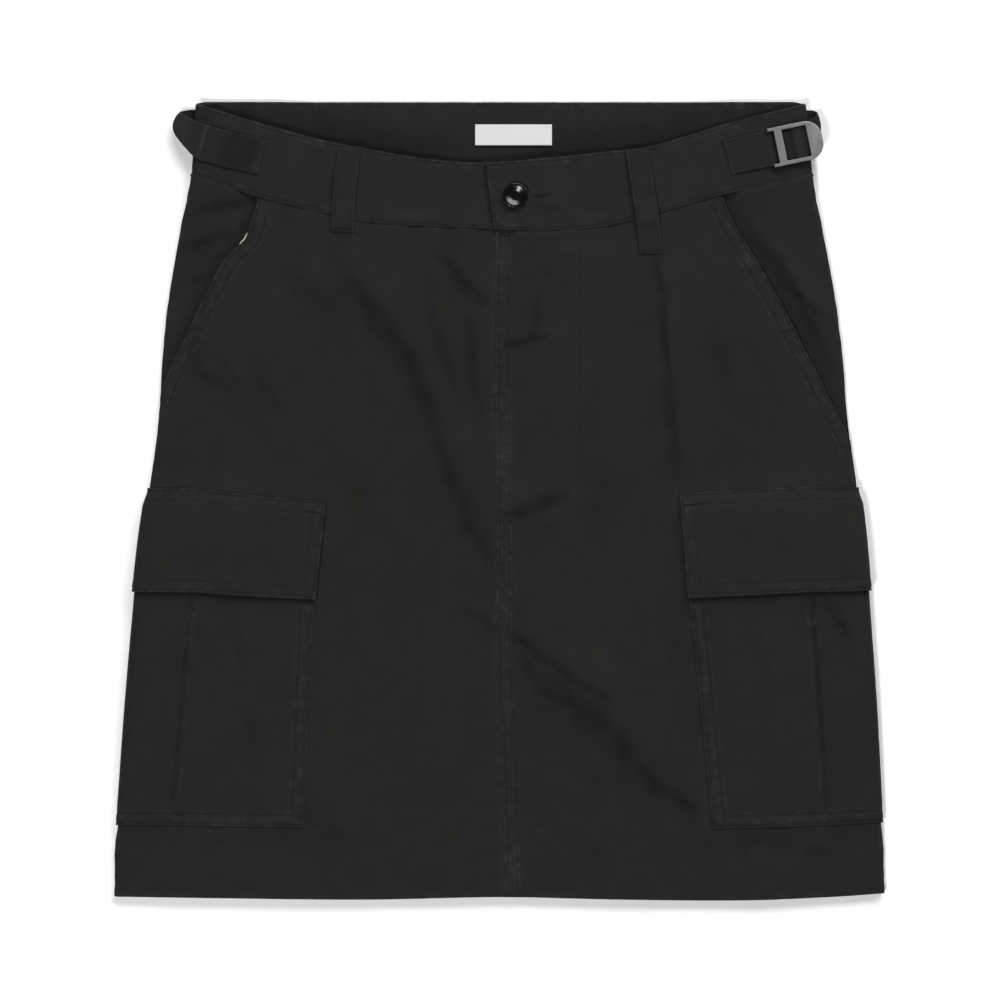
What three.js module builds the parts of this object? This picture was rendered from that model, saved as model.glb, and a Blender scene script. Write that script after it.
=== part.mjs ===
// A cargo utility skirt in heavy cotton twill, buttoned and laid flat, front up, on a level surface.
// Millimetres. +X to the right as it lies, +Y towards the waist, +Z up out of the surface, which is z = 0.
// Every cloth piece is a wall of cloth. It lies on one flattened tube, the skirt's body, or a stated lift off it.
import * as THREE from "three";

// Cloth and seams
const CLOTH = 1.1; // one layer of twill
const BAND = 2.0; // the waistband: two layers and a stiffener
const STRAP = 1.3; // the adjusting straps: two layers, pressed
const SEAM = 0.3; // room left where two pieces meet
const LAY_ROOM = 0.4; // room between layers that lie on each other
const PLY = CLOTH + LAY_ROOM; // from one layer's middle to the next layer's middle
const LOFT = 2.8; // the empty room between front and back where they lie together
const HEM_TURN = 45; // the turned hem, two layers deep

// The body's outline, laid flat
const HEM_SIDE = -237.5; // the hem's height at the side seams
const SEAM_SIDE = 194.3; // the waist seam's height at the side seams
const TOP_SIDE = 238; // the waistband's top edge at the sides
const TOP_BACK = 239.4; // the waistband's straight top edge at the back
const BACK_SEAM_RISE = 5.7; // how far the back waist seam rises towards the middle
const BACK_FLAT = 176; // the back's top edge is straight out to here, and eases down beyond
const HALF_WAIST = 184;
const ROLL = 2.2; // how far in the sides begin to roll over
const ROLL_ARC = 4.2; // the cloth in half of that roll

// The silhouette of the bare body, without the pockets and straps
const SIDES = [
  { up: -238, left: -231.5, right: 231.5 },
  { up: -205, left: -231, right: 230.5 },
  { up: -193, left: -229, right: 229 },
  { up: -119.5, left: -222.5, right: 224 },
  { up: -59.5, left: -217, right: 219.5 },
  { up: 12.5, left: -209.5, right: 214 },
  { up: 48.5, left: -205, right: 209.5 },
  { up: 84.5, left: -203, right: 206.5 },
  { up: 120.5, left: -199, right: 202 },
  { up: 156.5, left: -193, right: 195.5 },
  { up: 180.5, left: -188, right: 190.5 },
  { up: 197, left: -185, right: 188 },
  { up: 238, left: -182.5, right: 184 },
];

// The hem's edge, which sags twice between the side seams
const HEM = [
  { across: -231, up: -237.8 },
  { across: -180, up: -238.5 },
  { across: -80, up: -239.5 },
  { across: 0, up: -238 },
  { across: 72, up: -239.5 },
  { across: 144, up: -240 },
  { across: 198, up: -238 },
  { across: 231, up: -235.8 },
];

// The front waistband dips: its top edge, and the seam that joins it to the fronts
const WAIST = [
  { across: -182, top: 238, seam: 194.3 },
  { across: -146.5, top: 227, seam: 182 },
  { across: -107.5, top: 216.5, seam: 172.5 },
  { across: -79.5, top: 211, seam: 166.5 },
  { across: -44.5, top: 205, seam: 164 },
  { across: -10, top: 202.5, seam: 162.5 },
  { across: 25, top: 205, seam: 161 },
  { across: 61.5, top: 209, seam: 163.5 },
  { across: 88.5, top: 212, seam: 170 },
  { across: 115, top: 219.5, seam: 177.5 },
  { across: 136.5, top: 226, seam: 183.5 },
  { across: 184, top: 238, seam: 194.3 },
];

// The line where the two fronts meet
const CENTRE = [
  { up: -238, across: 4 },
  { up: -160, across: 2 },
  { up: -100, across: -1 },
  { up: 24, across: -1.5 },
  { up: 94, across: -2 },
  { up: 162, across: -1.5 },
];

// How far each slant pocket mouth lies from its side seam, by height as a share of the front's length.
// Its foot is sewn shut, so the front's edge steps in there.
const MOUTHS = {
  left: [
    { share: 0.763, in: 0 },
    { share: 0.765, in: 12 },
    { share: 0.78, in: 15.6 },
    { share: 0.895, in: 30 },
    { share: 0.935, in: 40 },
    { share: 1, in: 42 },
  ],
  right: [
    { share: 0.6915, in: 0 },
    { share: 0.6935, in: 12 },
    { share: 0.766, in: 25 },
    { share: 0.903, in: 44.8 },
    { share: 0.945, in: 51 },
    { share: 1, in: 56 },
  ],
};
const FACING_DEPTH = 28; // how far the hip piece runs in under the mouth
const FACING_DIP = { from: 15, to: 3 }; // it goes down one ply between these places beside the mouth
const BAG_WIDTH = 46;
const BAG_ROOM = 0.4; // between the hip piece and the bag
const BAG_FOOT = 0.62; // the bag's foot, as a share of the front's length

// The cargo pockets and their flaps, which fold round the side seams
const POCKET_HALF = 107;
const POCKET_FOOT = 0.1;
const POCKET_TOP = 0.545;
const FLAP_HALF = 107.8;
const FLAP_FOOT = 0.424;
const FLAP_TOP = 0.568;
const FLAP_SEWN = 0.56; // above this the flap lies on the body
const PLEAT_IN = 35; // from the side seam to each pleat
const PLEAT_STEP = { from: 32, to: 37, down: 0.3 }; // the pocket is lower by this share beyond the pleat
const PUFF_FROM = -1.4; // the pocket begins to stand off here, just behind the side seam
const PUFF_FULL = 2.8;
const PUFF_EDGE = 88; // and from here it comes down to its front edge
const EDGE_RAMP = 14; // how far beyond a pocket the cloth takes to come down
const POCKET_LEAN = { left: 6, right: -4 }; // how much further in the front edge lies at the pocket's foot
const POCKET_TILT = { left: 0, right: 0.0097 }; // how much higher the front edge lies at the top, as a share
const TILT_ROWS = [0.4, 0.56]; // it begins to rise and is at its highest at these shares

// How far the cargo pocket stands off the body at its middle, more than one ply, by height
const PUFF = [
  { share: 0.1, out: 0 },
  { share: 0.16, out: 1 },
  { share: 0.27, out: 2.2 },
  { share: 0.36, out: 2.5 },
  { share: 0.43, out: 2.5 },
  { share: 0.5, out: 1.8 },
  { share: 0.545, out: 0 },
];

// How much lies under the back by height, where the cargo pockets fold round to it
const UNDER_POCKETS = [
  { share: 0, out: 0 },
  { share: 0.075, out: 0 },
  { share: 0.097, out: PLY },
  { share: 0.4, out: PLY },
  { share: 0.421, out: 2 * PLY },
  { share: 0.545, out: 2 * PLY },
  { share: 0.56, out: PLY },
  { share: 0.571, out: PLY },
  { share: 0.595, out: 0 },
  { share: 2, out: 0 },
];
const BAND_LIFT = 0.45; // the waistband's middle lies this far out from the body's
const BAND_UNDER = BAND / 2 + BAND_LIFT - CLOTH / 2; // what the thicker waistband adds under the body
const STRAP_UNDER = BAND_UNDER + STRAP + LAY_ROOM; // the same where a strap lies under the waistband
const STRAP_REACH = 46; // how far in from the side that holds
const STRAP_RAMP = 26; // and how far it takes to come down
const WAIST_RAMP = 0.93; // where the cloth begins to rise to the waistband

// Drag folds in the front. Each is a soft trough between two low swells, of the named height.
const MAIN_FOLD = [
  ...[[-104, 146], [-80, 115], [-66, 97], [-53, 75], [-37, 30], [-26, 4], [-6, -38], [12, -86]],
  ...[[30, -112], [64, -141], [89, -171], [119, -188], [144, -205], [172, -204]],
];
const FOLDS = [
  { wide: 9, high: 2.6, path: MAIN_FOLD },
  { wide: 5, high: 1.8, path: [[-36, 146], [-26, 135], [-9, 115]] },
  { wide: 4, high: 2, path: [[98, 126], [99, 76], [108, 12]] },
  { wide: 5, high: 1.2, path: [[5, -9], [36, 1]] },
  { wide: 5, high: 1.4, path: [[12, -84], [54, -112]] },
  { wide: 5, high: 1.5, path: [[-182, 93], [-156, 67]] },
];
const FADE = {
  side: [6, 30], // folds rise between these places in from the side seam
  pocket: [POCKET_HALF + 2, POCKET_HALF + 30], // and beside the cargo pocket between these
  underPocket: [0.085, 0.03], // or below its foot, by share
  overFlap: [0.585, 0.64], // or above its flap
  waist: [0.99, 0.9], // and die out towards the waist seam
};

// The fly, the felled seam below it and the waistband's overlap
const FLY_FOOT = 0.55;
const FLY_WIDTH = 50;
const STRIP_WIDTH = 8.7;
const STRIP_GAP = 0.001; // between the fly's strip and the seam's, as a share
const OVERLAP_END = { top: -8.7, seam: -3.3 }; // the right end of the band, over the left
const UNDERLAP_END = 21; // how far the left end runs on under it
const OVERLAP_RISE = BAND + LAY_ROOM;
const OVERLAP_FLAT = 24; // the right band lies on the left as far as this
const OVERLAP_DOWN = 44; // and is down on the body by this

// Hardware and trims
const BUTTON = { across: 9.5, up: 182.5, radius: 7.4, tall: 2.6 };
const LABEL = { left: -14.7, right: 31.5, low: 213.3, high: 225.9, thick: 1 };
const LOOP_WIDTH = 14;
const STRAP_WIDTH = 21.5;
const BUCKLE = {
  across: 178.5,
  up: 214,
  turn: 0.2,
  long: 33,
  wide: 23.4,
  thick: 1.8,
  bar: 2.2,
  horn: 1.8,
  crossbar: 4.6,
  crossbarIn: 3.6,
  plate: 10,
  corner: 8.5,
};

const TWILL = { name: "twill", color: 0x2a2a28, roughness: 0.9, metalness: 0 };
const BAG_CLOTH = { name: "bag_cloth", color: 0x8d8a80, roughness: 0.9, metalness: 0 };
const LABEL_CLOTH = { name: "label_cloth", color: 0xe8e6e6, roughness: 0.7, metalness: 0 };
const METAL = { name: "buckle_metal", color: 0x8a8a86, roughness: 0.35, metalness: 0.9 };
const PLASTIC = { name: "button_plastic", color: 0x0c0c0d, roughness: 0.2, metalness: 0 };

const skirt = new THREE.Group();

// A smooth curve through a table's rows: the value in one column for a place in another.
function curve(rows, key, column) {
  const last = rows.length - 1;
  const slope = (i) => {
    const before = rows[Math.max(i - 1, 0)];
    const after = rows[Math.min(i + 1, last)];
    return (after[column] - before[column]) / (after[key] - before[key]);
  };
  return (place) => {
    const above = rows.findIndex((row) => row[key] > place);
    const i = above < 0 ? last - 1 : Math.max(above - 1, 0);
    const span = rows[i + 1][key] - rows[i][key];
    const t = THREE.MathUtils.clamp((place - rows[i][key]) / span, 0, 1);
    const rise = t * t * (3 - 2 * t);
    const lead = t * (1 - t) * (1 - t) * span * slope(i);
    const trail = t * t * (t - 1) * span * slope(i + 1);
    return rows[i][column] * (1 - rise) + rows[i + 1][column] * rise + lead + trail;
  };
}

// The same with straight lines between the rows.
function straight(rows, key, column) {
  return (place) => {
    const above = rows.findIndex((row) => row[key] > place);
    const i = above < 0 ? rows.length - 2 : Math.max(above - 1, 0);
    const t = ramp(place, rows[i][key], rows[i + 1][key]);
    return rows[i][column] + (rows[i + 1][column] - rows[i][column]) * t;
  };
}

// 0 before the first place, 1 beyond the second, straight between.
function ramp(place, from, to) {
  return THREE.MathUtils.clamp((place - from) / (to - from), 0, 1);
}

function easedRamp(place, from, to) {
  const t = ramp(place, from, to);
  return t * t * (3 - 2 * t);
}

const hemAt = curve(HEM, "across", "up");
const topAt = curve(WAIST, "across", "top");
const seamAt = curve(WAIST, "across", "seam");
const centreAt = curve(CENTRE, "up", "across");
const sideAt = { left: curve(SIDES, "up", "left"), right: curve(SIDES, "up", "right") };
const mouthAt = { left: straight(MOUTHS.left, "share", "in"), right: straight(MOUTHS.right, "share", "in") };
const puffAt = curve(PUFF, "share", "out");
const underPocketsAt = straight(UNDER_POCKETS, "share", "out");

// The height of a row across the skirt. A share of 0 is the hem, 1 the waist seam and 2 the band's top edge.
function rowHeight(share, x, front) {
  const hem = hemAt(x);
  const mid = 1 - ramp(Math.abs(x), 0, HALF_WAIST) ** 2;
  const seam = front ? seamAt(x) : SEAM_SIDE + BACK_SEAM_RISE * mid;
  if (share <= 1) {
    return hem + share * (SEAM_SIDE - hem) + share ** 2 * (seam - SEAM_SIDE);
  }
  const backTop = TOP_BACK - (TOP_BACK - TOP_SIDE) * easedRamp(Math.abs(x), BACK_FLAT, HALF_WAIST);
  const top = front ? topAt(x) : backTop;
  return seam + (share - 1) * (top - seam);
}

function rowHeightAtSide(share) {
  if (share <= 1) return HEM_SIDE + share * (SEAM_SIDE - HEM_SIDE);
  return SEAM_SIDE + (share - 1) * (TOP_SIDE - SEAM_SIDE);
}

// What lies under the back here, and so lifts the whole body off the surface.
function under(inward, share) {
  const reach = Math.abs(inward);
  const pockets = underPocketsAt(share) * (1 - ramp(reach, POCKET_HALF + 1, POCKET_HALF + 1 + EDGE_RAMP));
  const strap = ramp(reach, STRAP_REACH + STRAP_RAMP, STRAP_REACH);
  const band = BAND_UNDER + (STRAP_UNDER - BAND_UNDER) * strap;
  return pockets + band * ramp(share, WAIST_RAMP, 1);
}

// Straight-line distance from a point to a fold's path, and how far along it that is, from 0 to 1.
function foldDistance(path, x, y) {
  const steps = path.length - 1;
  let nearest = { away: Infinity, along: 0 };
  for (let i = 0; i < steps; i++) {
    const [x0, y0] = path[i];
    const [x1, y1] = path[i + 1];
    const length = Math.hypot(x1 - x0, y1 - y0);
    const t = THREE.MathUtils.clamp(((x - x0) * (x1 - x0) + (y - y0) * (y1 - y0)) / length ** 2, 0, 1);
    const away = Math.hypot(x - x0 - t * (x1 - x0), y - y0 - t * (y1 - y0));
    if (away < nearest.away) nearest = { away, along: (i + t) / steps };
  }
  return nearest;
}

// How high the folds lift the front at a point. They die out at the pockets, the sides and the waist.
function relief(x, y, inward, share) {
  let height = 0;
  for (const fold of FOLDS) {
    const { away, along } = foldDistance(fold.path, x, y);
    const u = away / fold.wide;
    const swell = Math.exp((-u * u) / 8) - Math.exp((-u * u) / 0.8);
    height += fold.high * swell * (0.45 + 0.55 * Math.sin(Math.PI * (0.1 + 0.8 * along)));
  }
  const offPocket = easedRamp(inward, ...FADE.pocket);
  const clearOfPocket = easedRamp(share, ...FADE.underPocket) + easedRamp(share, ...FADE.overFlap);
  const inPanel = easedRamp(inward, ...FADE.side) * easedRamp(share, ...FADE.waist);
  return height * inPanel * Math.max(offPocket, clearOfPocket);
}

// A point of the body. Inward is the cloth from the side seam: towards the front if positive, the back if not.
// Lift is how far out of the body's middle layer the point lies.
function onBody(side, inward, share, lift, folded = false) {
  const out = side === "left" ? -1 : 1;
  const front = inward >= 0;
  const half = share > 1 ? BAND_LIFT + BAND / 2 : CLOTH / 2;
  const edge = sideAt[side](rowHeightAtSide(share)) - out * half;
  const angle = THREE.MathUtils.clamp(inward / ROLL_ARC, -1, 1) * (Math.PI / 2);
  const flat = Math.max(Math.abs(inward) - ROLL_ARC, 0);
  const x = edge - out * (ROLL * (1 - Math.cos(angle)) + flat);
  const y = rowHeight(share, x, front);
  const backZ = CLOTH / 2 + under(inward, share);
  const halfDeep = (CLOTH + LOFT) / 2;
  const folds = folded && front ? relief(x, y, inward, share) : 0;
  const z = backZ + halfDeep * (1 + Math.sin(angle)) + folds;
  const away = new THREE.Vector2(Math.cos(angle) / ROLL, Math.sin(angle) / halfDeep).normalize();
  return new THREE.Vector3(x + out * away.x * lift, y, z + away.y * lift);
}

// How far in from the side seam a place across the skirt lies, on a row.
function inwardOf(side, share, x) {
  const half = share > 1 ? BAND_LIFT + BAND / 2 : CLOTH / 2;
  const edge = Math.abs(sideAt[side](rowHeightAtSide(share))) - half;
  return ROLL_ARC - ROLL + edge - (side === "left" ? -x : x);
}

function centreInward(side, share) {
  return inwardOf(side, share, centreAt(rowHeight(share, 0, true))) - SEAM / 2;
}

function addPiece(name, geometry, finish) {
  const mesh = new THREE.Mesh(geometry, new THREE.MeshStandardMaterial(finish));
  mesh.name = name;
  skirt.add(mesh);
}

// Closes two like grids of points, an outer and an inner face, into one wall.
function wall(name, outer, inner, finish = TWILL) {
  const rows = outer.length;
  const columns = outer[0].length;
  const points = [...outer.flat(), ...inner.flat()];
  const outerAt = (i, j) => i * columns + j;
  const innerAt = (i, j) => rows * columns + outerAt(i, j);
  const faces = [];
  const quad = (a, b, c, d) => faces.push([a, b, c], [a, c, d]);
  for (let i = 0; i < rows - 1; i++) {
    for (let j = 0; j < columns - 1; j++) {
      quad(outerAt(i, j), outerAt(i, j + 1), outerAt(i + 1, j + 1), outerAt(i + 1, j));
      quad(innerAt(i, j), innerAt(i + 1, j), innerAt(i + 1, j + 1), innerAt(i, j + 1));
    }
  }
  const rim = [];
  for (let j = 0; j < columns - 1; j++) rim.push([0, j]);
  for (let i = 0; i < rows - 1; i++) rim.push([i, columns - 1]);
  for (let j = columns - 1; j > 0; j--) rim.push([rows - 1, j]);
  for (let i = rows - 1; i > 0; i--) rim.push([i, 0]);
  rim.forEach(([i, j], k) => {
    const [nextI, nextJ] = rim[(k + 1) % rim.length];
    quad(outerAt(i, j), innerAt(i, j), innerAt(nextI, nextJ), outerAt(nextI, nextJ));
  });
  let volume = 0;
  for (const [a, b, c] of faces) volume += points[a].dot(points[b].clone().cross(points[c]));
  if (volume < 0) faces.forEach((face) => face.reverse());
  const geometry = new THREE.BufferGeometry().setFromPoints(points);
  geometry.setIndex(faces.flat());
  geometry.computeVertexNormals();
  addPiece(name, geometry, finish);
}

// A wall on the body: its rows' shares, the inward places of each row's columns, and its middle's lift.
function bodyWall(name, side, shares, columnsOf, liftOf, options = {}) {
  const { outer = CLOTH / 2, inner = () => CLOTH / 2, folded = false, finish = TWILL } = options;
  const { riseOf = () => 0 } = options;
  const face = (offsetOf) =>
    shares.map((share) =>
      columnsOf(share).map((inward) => {
        const lift = liftOf(inward, share) + offsetOf(share);
        return onBody(side, inward, share + riseOf(inward, share), lift, folded);
      }),
    );
  const outerFace = face(() => outer);
  const innerFace = face((share) => -inner(share));
  wall(name, outerFace, innerFace, finish);
}

// A ribbon of cloth along a path of places, each with its height z. Its width runs up the skirt and leans across
// by the path's own amount, or lies as given. A bow draws its two edges in behind its middle.
function ribbon(name, path, width, thick, widthLies = null) {
  const places = path.map(({ across, up, z }) => new THREE.Vector3(across, up, z));
  const acrossWidth = [-0.5, -0.25, 0, 0.25, 0.5];
  const faces = [1, -1].map((outward) =>
    places.map((place, i) => {
      const before = places[Math.max(i - 1, 0)];
      const after = places[Math.min(i + 1, places.length - 1)];
      const along = after.clone().sub(before).normalize();
      const aside = widthLies ?? new THREE.Vector3(path[i].lean, 1, 0).normalize();
      const normal = along.clone().cross(aside).normalize();
      const drawnIn = new THREE.Vector3(path[i].bow ?? 0, 0, 0);
      return acrossWidth.map((share) =>
        place
          .clone()
          .addScaledVector(aside, share * width)
          .addScaledVector(drawnIn, 4 * share * share)
          .addScaledVector(normal, (outward * thick) / 2),
      );
    }),
  );
  wall(name, faces[0], faces[1]);
}

// Places inward from the side seam that pieces share, so that cloth lying on cloth stays parallel to it
const SIDE_GAP = 0.2; // pieces stop this far from the side seam
const IN_ROLL = [SIDE_GAP, 1.4, 2.8, ROLL_ARC];
const OVER_ROLL = [-ROLL_ARC, -2.8, -1.4, 0, 1.4, 2.8, ROLL_ARC];
const FRONT_PLACES = [...IN_ROLL, 16, 30, 46, 60, 72, 86, 98, 108, 122];
const BACK_PLACES = [...IN_ROLL, 30, 46, 72, 108, 122];
const BAND_PLACES = [...IN_ROLL, 10, 18, 32, 46, 59, 72, 86, 100, 115, 130, 145, 160];
const OVERLAP_FROM = 138; // the right band's own places begin here
const POCKET_PLACES = [-72, -30, ...OVER_ROLL, 16, PLEAT_STEP.from, PLEAT_STEP.to, 55, 72, PUFF_EDGE, 100];
const MOUTH_SQUEEZE = 72; // the columns of a front beside its pocket mouth are drawn together up to here
const QUARTERS = [0, 0.25, 0.5, 0.75, 1];
const FOOT_GAP = 0.0015; // between the hip piece and the sewn foot of its pocket mouth, as a share

// Rows of the pieces, as shares of the front's length
const HEM_SHARE = HEM_TURN / (SEAM_SIDE - HEM_SIDE);
const PANEL_TOP = 0.9996; // the fronts and the back stop just short of the waist seam
const BAND_ROWS = [1.004, 1.5, 2];
const OVER_HEM = HEM_SHARE + 0.001; // just above the turned hem
const HEM_ROWS = [0, 0.03, 0.06, 0.075, 0.097, OVER_HEM];
const FLAP_SHOW_ROWS = [0.46, 0.5, 0.53, POCKET_TOP];
const UPPER_ROWS = [0.64, 0.69, 0.73, 0.765, 0.8, 0.85, 0.895, 0.935, 0.965, PANEL_TOP];
const FRONT_ROWS = [
  ...HEM_ROWS,
  ...[0.14, 0.19, 0.24, 0.29, 0.34, 0.4, 0.421],
  ...FLAP_SHOW_ROWS,
  ...[FLY_FOOT, FLAP_SEWN, 0.571, 0.595],
  ...UPPER_ROWS,
];
const BACK_ROWS = [
  ...[0, 0.05, 0.075, 0.097, OVER_HEM],
  ...[0.25, 0.4, 0.421, POCKET_TOP, FLAP_SEWN],
  ...[0.571, 0.595, 0.76, WAIST_RAMP, PANEL_TOP],
];
const POCKET_ROWS = [POCKET_FOOT, 0.13, 0.16, 0.2, 0.24, 0.3, 0.36, 0.4, 0.421, ...FLAP_SHOW_ROWS];
const FLAP_ROWS = [FLAP_FOOT, ...FLAP_SHOW_ROWS, FLAP_SEWN, FLAP_TOP];

const turnedHem = (share) => CLOTH / 2 + (share < HEM_SHARE ? CLOTH : 0);

// A wall over the back from one side seam to the other. Rows run from the left to the right.
function backWall(name, shares, places, lift, outer, innerOf) {
  const half = (side, share, offset) => {
    const middle = inwardOf(side, share, 0);
    const steps = [...places, (places.at(-1) + middle) / 2, middle];
    return steps.map((inward) => onBody(side, -inward, share, lift + offset));
  };
  const row = (share, offset) => [
    ...half("left", share, offset),
    ...half("right", share, offset).slice(0, -1).reverse(),
  ];
  const outerFace = shares.map((share) => row(share, outer));
  const innerFace = shares.map((share) => row(share, -innerOf(share)));
  wall(name, outerFace, innerFace);
}

function makeFront(side) {
  const footRows = [MOUTHS[side][0].share, MOUTHS[side][1].share];
  const rows = [...new Set([...FRONT_ROWS, ...footRows])].sort((one, other) => one - other);
  const columnsOf = (share) => {
    const mouth = mouthAt[side](share);
    const centre = centreInward(side, share);
    const squeezed = (inward) => mouth + (inward * (MOUTH_SQUEEZE - mouth)) / MOUTH_SQUEEZE;
    const near = FRONT_PLACES.map((inward) => (inward < MOUTH_SQUEEZE ? squeezed(inward) : inward));
    const last = near.at(-1);
    const strip = centre - STRIP_WIDTH;
    const far = QUARTERS.slice(1).map((part) => last + (strip - last) * part);
    return [...near, ...far, centre];
  };
  bodyWall("front_panel_" + side, side, rows, columnsOf, () => 0, { inner: turnedHem, folded: true });
}

// The hip piece shows from the side seam to the pocket mouth, and runs on under the front. The bag meets it there.
function makeSlantPocket(side) {
  const foot = MOUTHS[side][1].share + FOOT_GAP;
  const shares = [foot, ...UPPER_ROWS.filter((share) => share > foot + 5 * FOOT_GAP)];
  const hiddenFrom = (share) => Math.max(mouthAt[side](share), FACING_DIP.from - 2);
  const facingColumns = (share) => {
    const hidden = hiddenFrom(share);
    const tucked = QUARTERS.map((part) => hidden + FACING_DEPTH * part);
    return [...IN_ROLL, (ROLL_ARC + hidden) / 2, ...tucked];
  };
  const facingLift = (inward, share) => {
    const beside = mouthAt[side](share) - inward;
    return -PLY * ramp(beside, FACING_DIP.from, FACING_DIP.to);
  };
  bodyWall("pocket_facing_" + side, side, shares, facingColumns, facingLift);

  const bagShares = [BAG_FOOT, ...UPPER_ROWS.filter((share) => share > BAG_FOOT)];
  const bagColumns = (share) => {
    const start = hiddenFrom(share) + FACING_DEPTH + BAG_ROOM;
    return QUARTERS.map((part) => start + BAG_WIDTH * part);
  };
  bodyWall("pocket_bag_" + side, side, bagShares, bagColumns, () => -PLY, { finish: BAG_CLOTH });
}

// The fly's folded edge and the felled seam below it lie on the right front, and the facing under it.
function makeCentreFront() {
  const strip = (share) => {
    const centre = centreInward("right", share);
    return [centre - STRIP_WIDTH, centre];
  };
  const flyRows = FRONT_ROWS.filter((share) => share >= FLY_FOOT);
  const seamRows = FRONT_ROWS.filter((share) => share < FLY_FOOT);
  seamRows.push(FLY_FOOT - STRIP_GAP);
  bodyWall("fly_strip", "right", flyRows, strip, () => PLY, { folded: true });
  bodyWall("centre_seam_strip", "right", seamRows, strip, () => PLY, { folded: true });

  const facing = (share) => [0, 1 / 3, 2 / 3, 1].map((part) => strip(share)[1] - FLY_WIDTH * (1 - part));
  bodyWall("fly_facing", "right", flyRows, facing, () => -PLY);
}

function makeWaistband() {
  const halfBand = BAND / 2;
  backWall("waistband_back", BAND_ROWS, BAND_PLACES, BAND_LIFT, halfBand, () => halfBand);

  const options = { outer: halfBand, inner: () => halfBand };
  const leftColumns = (share) => {
    const end = inwardOf("left", share, UNDERLAP_END);
    return [...BAND_PLACES, 175, 190, end];
  };
  bodyWall("waistband_front_left", "left", BAND_ROWS, leftColumns, () => BAND_LIFT, options);

  const rightColumns = (share) => {
    const end = OVERLAP_END.seam + (OVERLAP_END.top - OVERLAP_END.seam) * (share - 1);
    const rise = [OVERLAP_DOWN, 39, 34, 29, OVERLAP_FLAT, end].map((x) => inwardOf("right", share, x));
    return [...BAND_PLACES.filter((inward) => inward < OVERLAP_FROM), ...rise];
  };
  const overlapLift = (inward, share) => {
    const x = inwardOf("right", share, 0) - inward;
    return BAND_LIFT + OVERLAP_RISE * easedRamp(x, OVERLAP_DOWN, OVERLAP_FLAT);
  };
  bodyWall("waistband_front_right", "right", BAND_ROWS, rightColumns, overlapLift, options);
}

const bandTop = onBody("left", 100, 1.5, BAND_LIFT + BAND / 2).z;
const panelTop = onBody("left", 100, 0.9, CLOTH / 2).z;
const strapZoneTop = onBody("left", 30, 1.5, BAND_LIFT + BAND / 2).z;

// Each loop runs down the waistband and on below its seam. Its cloth folds back a little at the named place.
function makeBeltLoops() {
  const onBand = bandTop + SEAM + CLOTH / 2;
  const onPanel = panelTop + LAY_ROOM + CLOTH / 2;
  const left = [
    { across: -89.5, up: 212, z: onBand },
    { across: -90.5, up: 206, z: onBand + 0.3 },
    { across: -92, up: 194, z: onBand + 1.1 },
    { across: -93, up: 184, z: onBand + 1.4 },
    { across: -93.2, up: 180.5, z: onBand + 0.5 },
    { across: -93.6, up: 172, z: onBand + 0.2 },
    { across: -93.9, up: 166, z: onPanel + 1.3 },
    { across: -94, up: 161, z: onPanel + 0.6 },
  ];
  const right = [
    { across: 82, up: 210.5, z: onBand },
    { across: 83.5, up: 202, z: onBand + 0.4 },
    { across: 86, up: 186, z: onBand + 1 },
    { across: 88, up: 174, z: onBand + 0.9 },
    { across: 89, up: 166.5, z: onPanel + 2.6 },
    { across: 89.4, up: 163.5, z: onPanel + 1.4 },
    { across: 90.2, up: 156, z: onPanel + 0.6 },
    { across: 91, up: 148, z: onPanel + 0.4 },
  ];
  for (const [side, path] of Object.entries({ left, right })) {
    // These paths run down, so their width lies across them.
    ribbon("belt_loop_" + side, path, LOOP_WIDTH, CLOTH, new THREE.Vector3(1, 0, 0));
  }
}

// Each strap is sewn to the front band, turns round the side and is sewn to the back band under the skirt.
// The left one stands off the side in a loop. A rise of 1 is on the front band, 0 on the surface.
function makeStraps() {
  const left = [
    { across: -142, up: 205.6, rise: 1, lean: 0.25 },
    { across: -161.5, up: 210, rise: 1, lean: 0.25 },
    { across: -177.5, up: 214.5, rise: 1, lean: 0.2 },
    { across: -186, up: 218, rise: 0.97, lean: 0, bow: 1.5 },
    { across: -193.5, up: 221, rise: 0.8, lean: -0.15, bow: 5 },
    { across: -196, up: 222, rise: 0.5, lean: -0.25, bow: 6.5 },
    { across: -193.5, up: 222, rise: 0.2, lean: -0.15, bow: 5 },
    { across: -186, up: 222, rise: 0.02, lean: 0, bow: 1.5 },
    { across: -172, up: 221, rise: 0, lean: 0 },
    { across: -142, up: 219, rise: 0, lean: 0 },
  ];
  const right = [
    { across: 136, up: 205.5, rise: 1, lean: -0.25 },
    { across: 160, up: 210.5, rise: 1, lean: -0.25 },
    { across: 178, up: 214, rise: 1, lean: -0.2 },
    { across: 187.5, up: 217.5, rise: 0.97, lean: -0.1 },
    { across: 191.5, up: 220.5, rise: 0.76, lean: 0, bow: -1.5 },
    { across: 192.4, up: 222, rise: 0.5, lean: 0, bow: -2 },
    { across: 191.5, up: 222, rise: 0.24, lean: 0, bow: -1.5 },
    { across: 187.5, up: 222, rise: 0.03, lean: 0 },
    { across: 172, up: 221, rise: 0, lean: 0 },
    { across: 142, up: 219, rise: 0, lean: 0 },
  ];
  const low = STRAP / 2;
  const high = strapZoneTop + SEAM + STRAP / 2;
  for (const [side, rows] of Object.entries({ left, right })) {
    const path = rows.map((row) => ({ ...row, z: low + (high - low) * row.rise }));
    ribbon("side_strap_" + side, path, STRAP_WIDTH, STRAP);
  }
}

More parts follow.
